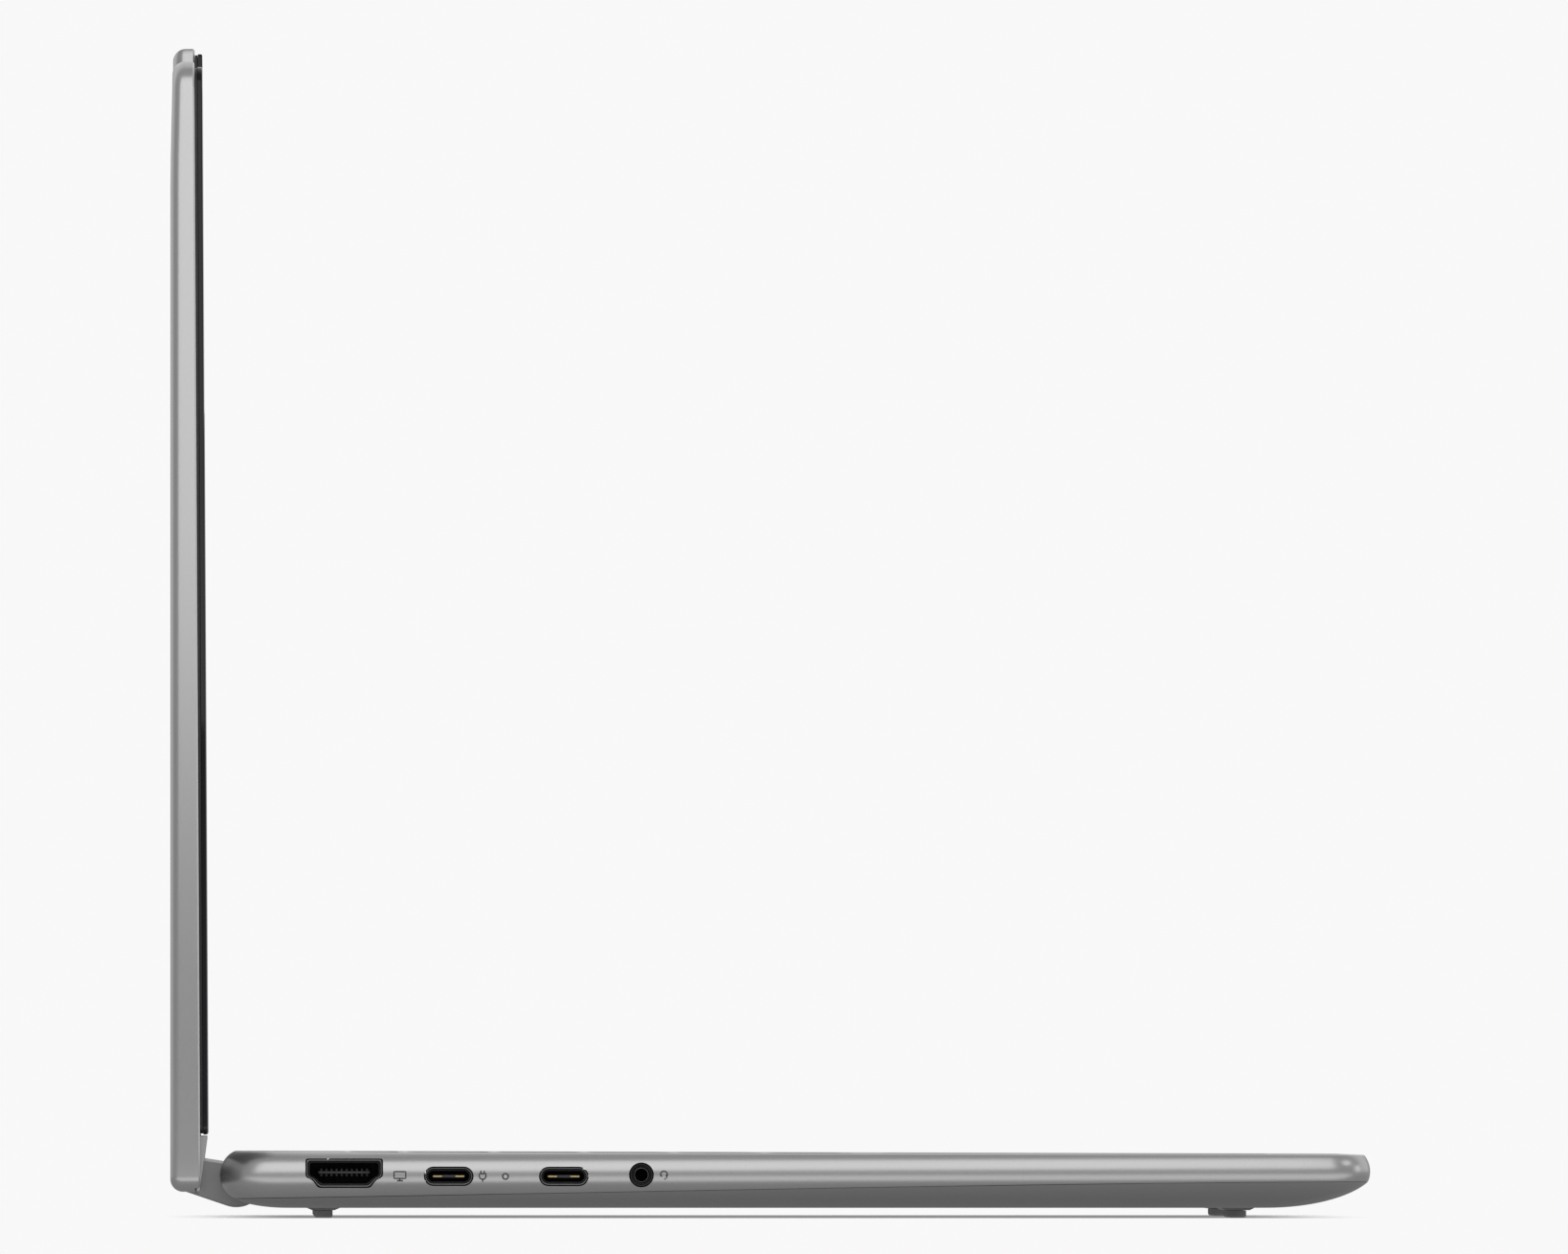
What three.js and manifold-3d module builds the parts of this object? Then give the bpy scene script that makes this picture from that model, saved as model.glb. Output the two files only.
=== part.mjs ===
// A 14-inch convertible laptop computer, open at a right angle, in millimetres.
// +Z is up and +Y points to the rear of the machine, so a user sits on the -Y side with +X on the right.
// The origin is on the desk, under the middle of the open machine.

import * as THREE from 'three';
import { mergeVertices } from 'three/addons/utils/BufferGeometryUtils.js';
import Module from 'manifold-3d';

const wasm = await Module();
wasm.setup();

// ---- Driving dimensions -------------------------------------------------------------------------

const HALF_WIDTH = 156.5; // half of the machine's width, base and lid alike
const WALL = 1.2; // sheet thickness of the base shells
const CLEARANCE = 0.3; // usual gap between fixed neighbours

// Base. Its side edges are arcs of one radius, whose centre, top and seam change from rear to front.
const EDGE_RADIUS = 5.08;
const REAR = { y: 108.58, centre: 8.4, top: 13.06, seam: 3.77, belly: 13.3, sideBelly: 12, corner: 11 };
const FRONT = { y: -118.36, centre: 9.15, top: 12.43, seam: 7.1, belly: 20.3, sideBelly: 14, corner: 8 };
const UNDERSIDE = 1.98; // height of the flat underside above the desk
const BELLY_ANGLE = THREE.MathUtils.degToRad(65); // turn of the curve from the underside to the seam
const SMALLEST_CORNER = 6;
const PAD_DROP = 0.5; // the raised pads that carry the feet
const FOOT_TOP = UNDERSIDE - PAD_DROP - 0.08;
const DECK_SLOPE = Math.atan2(REAR.top - FRONT.top, REAR.y - FRONT.y);
const DECK_AT_ORIGIN = FRONT.top - FRONT.y * Math.tan(DECK_SLOPE);
const FULL_HEIGHT = [-5, 30]; // reaches past the base below and above
const THROUGH_DECK = [9, 15];
const REAR_PAD = { x: [-122, 122], y: [84.96, 86.66, 90.81, 91.94] };
const FRONT_PAD = { x: [58, 122], y: [-96.08, -95.13, -90.13, -89.19] }; // y of the slopes and the flat
const PAD_ROOT = 0.3; // how far the pads reach into the cover's sheet
const REAR_FOOT = { x: [-118, 118], y: [86.29, 89.97] };
const FRONT_FOOT = { x: [62, 118], y: [-94.43, -90.86] };

// Hinges. A pair of arms turns on the lower axis in the base, and carries the lid on the upper axis.
const LOWER_AXIS = { y: 105.34, z: 7.92 };
const UPPER_AXIS = { y: 115.96, z: 7.74 };
const ARM = { inner: 85, outer: 125, lobe: 5.85, tip: 2.26, crown: 4.5 };
const ARM_TOP = { slope: 0.16, run: 4.2, drop: 0.64 }; // the upper edge, up to the arm's highest point
const NOTCH = { inner: 84.5, outer: 125.5, baseY: 99.1, lidDepth: 7.36, lidHeights: [-1, 9], wall: 1 };
const SHAFT = { inner: 72.6, outer: 100, lower: 1.25, upper: 1.1, play: 0.3 };
const LOWER_KNUCKLE = { radius: 2.3, bore: 1.5, pocket: 2.6, inner: 72.5, outer: 83.2 };
const UPPER_KNUCKLE = { radius: 1.65, bore: 1.3, pocket: 1.95, inner: 72.5, outer: 83.2 };
const LEAF_INNER = 40; // where the leaves of all four hinge brackets end
const BASE_BRACKET = { neckY: [95, 105.3], neckZ: [8.6, 11.3], leafY: [86.5, 103], leafZ: [9.9, 11.3] };
const LID_BRACKET = { leafY: [-40, -4.2], neckFar: -6, z: [4.46, 5.66] };
const LID_BRACKET_ROOM = { far: -42, z: [4.1, 5.96] };

// Lid, in its own frame: y is 0 at the hinge end and falls towards the free edge, z is 0 on the glass.
const LID = { length: 222.9, lip: 227.3, lipHalf: 50, rim: 1.55, backAtHinge: 7.46, backAtEdge: 6.26 };
const LID_TILT = THREE.MathUtils.degToRad(-90.31);
const LID_PLACE = [0, 110.89, 5.19];
const LID_AXIS = { y: -2.55, z: 5.06 };
const LID_FILLET = 2.5;
const LID_CORNER = 5.5;
const LID_HINGE_CORNER = 3;
const RIM_CHAMFER = 0.4;
const GLASS = { half: 155.65, near: -11.26, far: -221.8, tab: -226.2, thickness: 0.9, corner: 4.65 };
const TAB_TAPER = 3; // how much narrower the glass tab is at its end than at its root
const GASKET = { bottom: 1.0, top: 1.45, half: 149, near: -19, far: -214.5, inset: 0.4 };
const PANEL = { half: 152.8, near: -14, far: -220.3, bottom: 1.7, top: 4.2 };
const LID_CAVITY = { half: 153.3, near: -8.5, far: -221.3, depth: 4.9 };
const CHIN = { half: 155.1, near: -0.05, far: -10.9, crest: 0.15, foot: 1.67, back: 2.3 };
const CAMERA = { half: 15, near: -221.3, far: -224.2, bottom: 1.8, top: 3.8 };
const SHUTTER = { left: 4, right: 10, near: -221.5, far: -223.5, travel: 7 };
const SHUTTER_PLAY = { along: 0.5, across: 0.3, height: 0.05 };

// Keyboard, in the plane of the deck: the local z is 0 on the deck.
const KEY_UNIT = 18.2;
const KEY_GAP = 2.6;
const KEY_TOP = -0.1;
const KEY_WEB = { bottom: -3.4, top: -3.0, depth: 7, inset: 1, overlap: 0.2 }; // joins the caps of a row
const KEY_HOLE_PLAY = 0.5;
const KEYBOARD_REAR = 84;
const KEYBOARD_PLATE = { bottom: -5.6, top: -5.0, half: 138, front: -19, rear: 86 };
const TOUCHPAD = { half: 62.5, front: -102, rear: -24, top: -0.1, thickness: 1.2, corner: 1, play: 0.4 };

// Connectors. y and z give the middle of each opening, and all of them face outwards on the sides.
const PORT_FACE = 155.2;
const PORT_BACK = 145.6;
const PORT_BACK_WALL = 1;
const PORT_OPENING_DEPTH = 6; // how far the openings in the case reach in
const JACK_BACK = 141.6;
const TONGUE = { recess: 1, root: 0.5, corner: 0.1 };
const VIDEO_PORT = {
  y: 84.08, z: 8.83, half: 7.45, foot: 5, height: 5.4, shoulderDrop: 0.75,
  wall: 0.35, tongue: [10.2, 1], tongueLift: 0.4,
};
const USB_C = { width: 9.39, height: 3.43, cavity: [8.4, 2.56], tongue: [6.69, 0.7] };
const USB_C_PLACES = { usb_c_port_rear: [63.49, 8.23], usb_c_port_front: [40.8, 8.2] };
const USB_A = {
  width: 13.9, height: 6.3, corner: 0.5, cavity: [12.9, 5.3], tongue: [11.1, 1.84], tongueLift: 1.2,
};
const USB_A_PLACES = { usb_a_port_rear: [80, 8.3], usb_a_port_front: [60, 8.3] };
const AUDIO_JACK = { y: 25.5, z: 8.5, radius: 2.25, bore: 1.75 };
const CHARGE_LED = { y: 52.3, z: 8.2, radius: 0.55, inner: 154, outer: 156.2 };
const CARD_SLOT = { y: 40, z: 8.2, width: 12, height: 2.2, cavity: [11.3, 1.1] };
const POWER_BUTTON = { y: 22, z: 8.4, width: 14, height: 2.6, inner: 152.5, outer: 156.3 };

// Inside the base
const FAN = { x: -50, y: 60, radius: 27, bottom: 3.5, top: 7, duct: 22, inlet: 14, hub: 7, blade: 22 };
const FAN_WALL = { side: 1.2, sheet: 0.7, rotorPlay: 0.4 };
const FAN_BLADES = { count: 9, thickness: 0.7, root: 1 };
const DUCT_END = 87;
const EXHAUST = { gaps: 9, half: 19, slotHalf: 1, z: [6, 10] };
const INTAKE = { gaps: 8, half: 16, slotHalf: 0.8, reach: 15, z: [0, 5] };
const HEAT_SINK = { y: [87.5, 97], z: [3.9, 6.1], grooves: 8, margin: 4, grooveHalf: 0.9, grooveFloor: 4.6 };
const HEAT_PIPE = {
  z: [6.45, 7.1],
  path: [[-70, 89], [-22, 89], [-22, 42], [30, 42], [30, 58], [-16, 58], [-16, 95], [-70, 95]],
};
const MAINBOARD = {
  z: [5, 6.2],
  outline: [[-145, 10], [145, 10], [145, 95], [-22, 95], [-22, 31], [-79, 31], [-79, 95], [-145, 95]],
};
const BATTERY = { width: 240, depth: 68, corner: 2, y: -64, z: [3.6, 8.2] };
const SSD = { width: 80, depth: 22, corner: 0.5, x: 80, y: -3, z: [4.2, 6.4] };
const SPEAKER = { x: [126, 149], y: [-95, -30], z: [4.9, 9.5] };
const SCREWS = [[-78, 97.2], [0, 97.2], [78, 97.2], [-134, -20], [134, -20], [0, -101]];
const SCREW = { head: 1.9, shank: 1.1, bottom: 2.15, shoulder: 2.65, top: 7, seat: 0.15 };

// How finely round shapes are divided
const CORNER_STEPS = 4;
const EDGE_STEPS = 4;
const ROUND_STEPS = 16;
const OUTLINE_STEPS = 2; // half the divisions of each arc of an extruded outline
const ARM_STEPS = 5;
const FINE_STEPS = 24;
const MEDIUM_STEPS = 12;
const SMALL_STEPS = 8;
const FILLET_STEPS = 3;

// ---- Solids --------------------------------------------------------------------------------------

function solidOf(geometry) {
  const bare = geometry.clone();
  bare.deleteAttribute('normal');
  bare.deleteAttribute('uv');
  const merged = mergeVertices(bare, 1e-4);
  const vertProperties = new Float32Array(merged.attributes.position.array);
  const triVerts = new Uint32Array(merged.index.array);
  return new wasm.Manifold(new wasm.Mesh({ numProp: 3, vertProperties, triVerts }));
}

function geometryOf(solid) {
  const mesh = solid.getMesh();
  const geometry = new THREE.BufferGeometry();
  geometry.setAttribute('position', new THREE.BufferAttribute(mesh.vertProperties, 3));
  geometry.setIndex(new THREE.BufferAttribute(mesh.triVerts, 1));
  geometry.computeVertexNormals();
  return geometry;
}

const shares = (steps) => Array.from({ length: steps + 1 }, (_, step) => step / steps);
const mirrored = (side, inner, outer) => (side > 0 ? [inner, outer] : [-outer, -inner]);
const join = (first, ...others) => others.reduce((solid, other) => solid.add(other), first);
const cut = (first, ...others) => others.reduce((solid, other) => solid.subtract(other), first);

// A box between two limits along each axis
function block([x0, x1], [y0, y1], [z0, z1]) {
  const box = new THREE.BoxGeometry(x1 - x0, y1 - y0, z1 - z0);
  return solidOf(box.translate((x0 + x1) / 2, (y0 + y1) / 2, (z0 + z1) / 2));
}

// A plan outline between two heights
function slab(shape, z0, z1) {
  const geometry = new THREE.ExtrudeGeometry(shape, {
    depth: z1 - z0, bevelEnabled: false, curveSegments: OUTLINE_STEPS,
  });
  return solidOf(geometry.translate(0, 0, z0));
}

// A side outline, drawn with y across and z up, between two places along x
const ALONG_X = new THREE.Matrix4().set(0, 0, 1, 0, 1, 0, 0, 0, 0, 1, 0, 0, 0, 0, 0, 1);
function bar(shape, x0, x1, steps = OUTLINE_STEPS) {
  const geometry = new THREE.ExtrudeGeometry(shape, {
    depth: Math.abs(x1 - x0), bevelEnabled: false, curveSegments: steps,
  });
  return solidOf(geometry.translate(0, 0, Math.min(x0, x1)).applyMatrix4(ALONG_X));
}

function pin(radius, { y, z }, x0, x1, steps = ROUND_STEPS) {
  const geometry = new THREE.CylinderGeometry(radius, radius, Math.abs(x1 - x0), steps);
  return solidOf(geometry.rotateZ(Math.PI / 2).translate((x0 + x1) / 2, y, z));
}

function post(radius, [x, y], z0, z1, steps = ROUND_STEPS) {
  const geometry = new THREE.CylinderGeometry(radius, radius, z1 - z0, steps);
  return solidOf(geometry.rotateX(Math.PI / 2).translate(x, y, (z0 + z1) / 2));
}

function polygon(points) {
  return new THREE.Shape(points.map(([a, b]) => new THREE.Vector2(a, b)));
}

function roundedRectangle(width, height, radius, a = 0, b = 0) {
  const [left, right] = [a - width / 2 + radius, a + width / 2 - radius];
  const [low, high] = [b - height / 2 + radius, b + height / 2 - radius];
  const shape = new THREE.Shape();
  shape.absarc(right, high, radius, 0, Math.PI / 2);
  shape.absarc(left, high, radius, Math.PI / 2, Math.PI);
  shape.absarc(left, low, radius, Math.PI, 1.5 * Math.PI);
  shape.absarc(right, low, radius, 1.5 * Math.PI, 2 * Math.PI);
  return shape;
}

const stadium = (width, height, a, b) => roundedRectangle(width, height, height / 2 - 0.01, a, b);

// One closed outline of a tapering case: a rectangle with round corners in a plane that tilts about X
function ring({ front, rear, halfFront, halfRear, cornerFront, cornerRear, zFront, zRear }) {
  const corners = [
    [1, halfRear, rear - cornerRear, cornerRear],
    [-1, halfRear, rear - cornerRear, cornerRear],
    [-1, halfFront, front + cornerFront, cornerFront],
    [1, halfFront, front + cornerFront, cornerFront],
  ];
  return corners.flatMap(([side, half, centreY, radius], quarter) => {
    return shares(CORNER_STEPS).map((share) => {
      const angle = (quarter + share) * Math.PI / 2;
      const y = centreY + radius * Math.sin(angle);
      const z = zRear + (zFront - zRear) * (y - rear) / (front - rear);
      return [side * (half - radius) + radius * Math.cos(angle), y, z];
    });
  });
}

// The solid between rings of equal length, from the lowest to the highest
function skin(rings) {
  const count = rings[0].length;
  const index = [];
  for (let level = 0; level + 1 < rings.length; level++) {
    for (let i = 0; i < count; i++) {
      const [a, b] = [level * count + i, level * count + (i + 1) % count];
      index.push(a, b, b + count, a, b + count, a + count);
    }
  }
  const last = (rings.length - 1) * count;
  for (let i = 1; i + 1 < count; i++) {
    index.push(0, i + 1, i, last, last + i, last + i + 1);
  }
  const geometry = new THREE.BufferGeometry();
  geometry.setAttribute('position', new THREE.Float32BufferAttribute(rings.flat(2), 3));
  geometry.setIndex(index);
  return solidOf(geometry);
}


// ---- Base shells ---------------------------------------------------------------------------------

// A point of the round side edge, from the seam at share 0 to the deck at share 1
function edgeLevel(end, share, wall = 0) {
  const radius = EDGE_RADIUS - wall;
  const low = Math.asin(Math.max(-1, (end.seam - end.centre) / radius));
  const high = Math.asin((end.top - wall - end.centre) / radius);
  const angle = low + share * (high - low);
  return { inset: EDGE_RADIUS - radius * Math.cos(angle), z: end.centre + radius * Math.sin(angle) };
}

// A point of the belly, from the flat underside at share 0 to the seam at share 1
function bellyLevel(end, flatInset, share, wall = 0) {
  const angle = share * BELLY_ANGLE;
  const across = (flatInset - edgeLevel(end, 0).inset) * Math.sin(angle) / Math.sin(BELLY_ANGLE);
  const rise = (end.seam - CLEARANCE - UNDERSIDE) * (1 - Math.cos(angle)) / (1 - Math.cos(BELLY_ANGLE));
  return {
    inset: flatInset - across + wall * Math.sin(angle),
    z: UNDERSIDE + rise + wall * Math.cos(angle),
  };
}

function baseRing(front, rear, sideFront = front, sideRear = rear) {
  return ring({
    front: FRONT.y + front.inset,
    rear: REAR.y - rear.inset,
    halfFront: HALF_WIDTH - sideFront.inset,
    halfRear: HALF_WIDTH - sideRear.inset,
    cornerFront: Math.max(SMALLEST_CORNER, FRONT.corner - front.inset),
    cornerRear: Math.max(SMALLEST_CORNER, REAR.corner - rear.inset),
    zFront: front.z,
    zRear: rear.z,
  });
}

const OVERRUN = 2; // how far a hollow's cutter passes the shell's open side
const shifted = ({ inset, z }, rise) => ({ inset, z: z + rise });

function upperSkin(wall) {
  const rings = shares(EDGE_STEPS).map((share) => (
    baseRing(edgeLevel(FRONT, share, wall), edgeLevel(REAR, share, wall))));
  if (wall === 0) return skin(rings);
  const below = (end) => shifted(edgeLevel(end, 0, wall), -OVERRUN);
  return skin([baseRing(below(FRONT), below(REAR)), ...rings]);
}

function lowerSkin(wall) {
  const rings = shares(EDGE_STEPS).map((share) => baseRing(
    bellyLevel(FRONT, FRONT.belly, share, wall), bellyLevel(REAR, REAR.belly, share, wall),
    bellyLevel(FRONT, FRONT.sideBelly, share, wall), bellyLevel(REAR, REAR.sideBelly, share, wall)));
  if (wall === 0) return skin(rings);
  const above = (end) => shifted(bellyLevel(end, end.belly, 1, wall), OVERRUN);
  return skin([...rings, baseRing(above(FRONT), above(REAR))]);
}

// ---- Keyboard layout -----------------------------------------------------------------------------

const HALF_HEIGHT_PAIR = 'pair';
const repeat = (count, width) => Array(count).fill(width);
const KEY_ROWS = [
  [11.5, { function_row_keys: repeat(15, 1) }],
  [18, { number_row_keys: repeat(13, 1), backspace_key: [2] }],
  [18, { tab_row_keys: [1.5, ...repeat(12, 1), 1.5] }],
  [18, { caps_row_keys: [1.75, ...repeat(11, 1)], enter_key: [2.25] }],
  [18, { left_shift_key: [2.25], shift_row_keys: repeat(10, 1), right_shift_key: [2.75] }],
  [18, {
    bottom_left_keys: [1.25, 1, 1, 1],
    space_bar: [5.5],
    bottom_right_keys: [1, 1.25, 1, HALF_HEIGHT_PAIR, 1],
  }],
];
const KEYBOARD_HALF = 7.5 * KEY_UNIT;

// The cap rectangles of each key node, as [[x0, x1], [y0, y1]]
function keyCaps() {
  const caps = {};
  let rear = KEYBOARD_REAR;
  for (const [depth, nodes] of KEY_ROWS) {
    let left = -KEYBOARD_HALF;
    const [y0, y1] = [rear - depth + KEY_GAP / 2, rear - KEY_GAP / 2];
    for (const [name, widths] of Object.entries(nodes)) {
      caps[name] = [];
      for (const width of widths) {
        const paired = width === HALF_HEIGHT_PAIR;
        const right = left + KEY_UNIT * (paired ? 1 : width);
        const x = [left + KEY_GAP / 2, right - KEY_GAP / 2];
        const middle = (y0 + y1) / 2;
        const split = KEY_GAP / 4;
        const spans = paired ? [[y0, middle - split], [middle + split, y1]] : [[y0, y1]];
        caps[name].push(...spans.map((y) => [x, y]));
        left = right;
      }
    }
    rear -= depth;
  }
  return caps;
}

const CAPS = keyCaps();

function keyNode(caps) {
  const [lefts, rights] = [caps.map(([x]) => x[0]), caps.map(([x]) => x[1])];
  const [y0, y1] = [Math.min(...caps.map(([, y]) => y[0])), Math.max(...caps.map(([, y]) => y[1]))];
  const middle = (y0 + y1) / 2;
  const { bottom, top, depth, inset, overlap } = KEY_WEB;
  const web = block([Math.min(...lefts) + inset, Math.max(...rights) - inset],
    [middle - depth / 2, middle + depth / 2], [bottom, top]);
  return join(web, ...caps.map(([x, y]) => block(x, y, [top - overlap, KEY_TOP])));
}

function touchpad() {
  const { half, front, rear, top, thickness, corner } = TOUCHPAD;
  return slab(roundedRectangle(2 * half, rear - front, corner, 0, (rear + front) / 2), top - thickness, top);
}

// ---- Base parts ----------------------------------------------------------------------------------

function videoOutline(grow) {
  const { y, z, half, foot, height, shoulderDrop } = VIDEO_PORT;
  const [top, low] = [z + height / 2 + grow, z - height / 2 - grow];
  const shoulder = z - shoulderDrop - grow / 2;
  return polygon([
    [y - half - grow, top], [y - half - grow, shoulder], [y - foot - grow, low],
    [y + foot + grow, low], [y + half + grow, shoulder], [y + half + grow, top],
  ]);
}

const usbCOutline = ([y, z], grow) => stadium(USB_C.width + 2 * grow, USB_C.height + 2 * grow, y, z);
const usbAOutline = ([y, z], grow) => (
  roundedRectangle(USB_A.width + 2 * grow, USB_A.height + 2 * grow, USB_A.corner + grow, y, z));
const cardOutline = (grow) => (
  stadium(CARD_SLOT.width + 2 * grow, CARD_SLOT.height + 2 * grow, CARD_SLOT.y, CARD_SLOT.z));
const buttonOutline = (grow) => (
  stadium(POWER_BUTTON.width + 2 * grow, POWER_BUTTON.height + 2 * grow, POWER_BUTTON.y, POWER_BUTTON.z));

// The openings that the connectors need in the side walls
function sideOpenings() {
  const reach = [HALF_WIDTH - PORT_OPENING_DEPTH, HALF_WIDTH + 1];
  const left = (shape) => bar(shape, ...mirrored(-1, ...reach));
  const right = (shape) => bar(shape, ...reach);
  return [
    left(videoOutline(CLEARANCE)),
    ...Object.values(USB_C_PLACES).map((place) => left(usbCOutline(place, CLEARANCE))),
    ...Object.values(USB_A_PLACES).map((place) => right(usbAOutline(place, CLEARANCE))),
    right(cardOutline(CLEARANCE)),
    right(buttonOutline(CLEARANCE)),
    pin(AUDIO_JACK.radius + CLEARANCE, AUDIO_JACK, ...mirrored(-1, ...reach)),
    pin(CHARGE_LED.radius + CLEARANCE, CHARGE_LED, ...mirrored(-1, ...reach), SMALL_STEPS),
  ];
}

function topCase() {
  const outer = upperSkin(0);
  let shell = cut(outer, upperSkin(WALL));
  for (const side of [-1, 1]) {
    const around = mirrored(side, NOTCH.inner - NOTCH.wall, NOTCH.outer + NOTCH.wall);
    const pocketWalls = block(around, [NOTCH.baseY - WALL, REAR.y + 1], FULL_HEIGHT)
      .intersect(outer);
    const through = mirrored(side, NOTCH.inner - 2 * NOTCH.wall, NOTCH.inner + 1);
    const seat = mirrored(side, LOWER_KNUCKLE.inner - 2 * CLEARANCE, LOWER_KNUCKLE.outer + CLEARANCE);
    shell = cut(
      join(shell, pocketWalls),
      block(mirrored(side, NOTCH.inner, NOTCH.outer), [NOTCH.baseY, REAR.y + 2], FULL_HEIGHT),
      pin(SHAFT.lower + SHAFT.play, LOWER_AXIS, ...through),
      pin(LOWER_KNUCKLE.pocket, LOWER_AXIS, ...seat),
    );
  }
  const play = KEY_HOLE_PLAY;
  const keyHoles = Object.values(CAPS).flat().map(([x, y]) => (
    block([x[0] - play, x[1] + play], [y[0] - play, y[1] + play], THROUGH_DECK)));
  const padHole = block(
    [-TOUCHPAD.half - TOUCHPAD.play, TOUCHPAD.half + TOUCHPAD.play],
    [TOUCHPAD.front - TOUCHPAD.play, TOUCHPAD.rear + TOUCHPAD.play], THROUGH_DECK);
  const vents = shares(EXHAUST.gaps).map((share) => {
    const x = FAN.x + (2 * share - 1) * EXHAUST.half;
    return block([x - EXHAUST.slotHalf, x + EXHAUST.slotHalf], [REAR.y - 4, REAR.y + 1], EXHAUST.z);
  });
  return cut(shell, ...keyHoles, padHole, ...vents, ...sideOpenings());
}

function padBar([frontSlope, frontFlat, rearFlat, rearSlope], [x0, x1]) {
  const [root, low] = [UNDERSIDE + PAD_ROOT, UNDERSIDE - PAD_DROP];
  return bar(polygon([
    [frontSlope, root], [frontSlope, UNDERSIDE], [frontFlat, low],
    [rearFlat, low], [rearSlope, UNDERSIDE], [rearSlope, root],
  ]), x0, x1);
}

function bottomCover() {
  const shell = cut(lowerSkin(0), lowerSkin(WALL));
  const pads = [
    padBar(REAR_PAD.y, REAR_PAD.x),
    ...[-1, 1].map((side) => padBar(FRONT_PAD.y, mirrored(side, ...FRONT_PAD.x))),
  ];
  const notches = [-1, 1].map((side) => block(
    mirrored(side, NOTCH.inner - CLEARANCE, NOTCH.outer + CLEARANCE),
    [NOTCH.baseY - CLEARANCE, REAR.y + 2], FULL_HEIGHT));
  const vents = shares(INTAKE.gaps).map((share) => {
    const x = FAN.x + (2 * share - 1) * INTAKE.half;
    const along = [FAN.y - INTAKE.reach, FAN.y + INTAKE.reach];
    return block([x - INTAKE.slotHalf, x + INTAKE.slotHalf], along, INTAKE.z);
  });
  const screwHoles = SCREWS.flatMap((place) => [
    post(SCREW.head + CLEARANCE, place, 0, SCREW.shoulder + SCREW.seat, MEDIUM_STEPS),
    post(SCREW.shank + CLEARANCE, place, 1, 5, MEDIUM_STEPS),
  ]);
  return cut(join(shell, ...pads), ...notches, ...vents, ...screwHoles);
}

function screw([x, y]) {
  const profile = [
    [0, SCREW.bottom], [SCREW.head, SCREW.bottom], [SCREW.head, SCREW.shoulder],
    [SCREW.shank, SCREW.shoulder], [SCREW.shank, SCREW.top], [0, SCREW.top],
  ];
  const lathe = new THREE.LatheGeometry(profile.map(([r, z]) => new THREE.Vector2(r, z)), MEDIUM_STEPS);
  return solidOf(lathe.rotateX(Math.PI / 2).translate(x, y, 0));
}

// A connector shell with its cavity open at the side of the machine, and a tongue on its rear wall
function connector(side, outer, inner, tongue) {
  const shell = bar(outer, side * PORT_FACE, side * PORT_BACK);
  const cavity = bar(inner, side * (PORT_FACE + 1), side * (PORT_BACK + PORT_BACK_WALL));
  if (!tongue) return cut(shell, cavity);
  const plate = bar(tongue, side * (PORT_FACE - TONGUE.recess), side * (PORT_BACK + TONGUE.root));
  return join(cut(shell, cavity), plate);
}

function videoPort() {
  const { y, z, wall, tongue, tongueLift } = VIDEO_PORT;
  return connector(-1, videoOutline(0), videoOutline(-wall),
    roundedRectangle(...tongue, TONGUE.corner, y, z + tongueLift));
}

function usbCPort([y, z]) {
  return connector(-1, usbCOutline([y, z], 0), stadium(...USB_C.cavity, y, z),
    roundedRectangle(...USB_C.tongue, TONGUE.corner, y, z));
}

function usbAPort([y, z]) {
  return connector(1, usbAOutline([y, z], 0), roundedRectangle(...USB_A.cavity, USB_A.corner / 2, y, z),
    roundedRectangle(...USB_A.tongue, TONGUE.corner, y, z + USB_A.tongueLift));
}

function audioJack() {
  const { radius, bore } = AUDIO_JACK;
  return cut(pin(radius, AUDIO_JACK, -PORT_FACE, -JACK_BACK),
    pin(bore, AUDIO_JACK, -PORT_FACE - 1, -JACK_BACK - PORT_BACK_WALL));
}

function cardSlot() {
  const { y, z, cavity } = CARD_SLOT;
  return connector(1, cardOutline(0), roundedRectangle(...cavity, TONGUE.corner, y, z));
}

function baseBracket(side) {
  const { radius, bore, inner, outer } = LOWER_KNUCKLE;
  const { neckY, neckZ, leafY, leafZ } = BASE_BRACKET;
  const knuckle = pin(radius, LOWER_AXIS, ...mirrored(side, inner, outer));
  const neck = block(mirrored(side, inner, outer), neckY, neckZ);
  const leaf = block(mirrored(side, LEAF_INNER, outer), leafY, leafZ);
  return cut(join(knuckle, neck, leaf), pin(bore, LOWER_AXIS, ...mirrored(side, inner - 1, outer + 1)));
}

function fanHousing() {
  const { x, y, radius, bottom, top, duct, inlet } = FAN;
  const { side, sheet } = FAN_WALL;
  const air = [bottom + sheet, top - sheet];
  const outside = join(
    post(radius, [x, y], bottom, top, FINE_STEPS),
    block([x - duct, x + duct], [y, DUCT_END], [bottom, top]));
  const inside = join(
    post(radius - side, [x, y], ...air, FINE_STEPS),
    block([x - duct + side, x + duct - side], [y, DUCT_END + 1], air));
  return cut(outside, inside, post(inlet, [x, y], top - 1, top + 1, FINE_STEPS));
}

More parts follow.
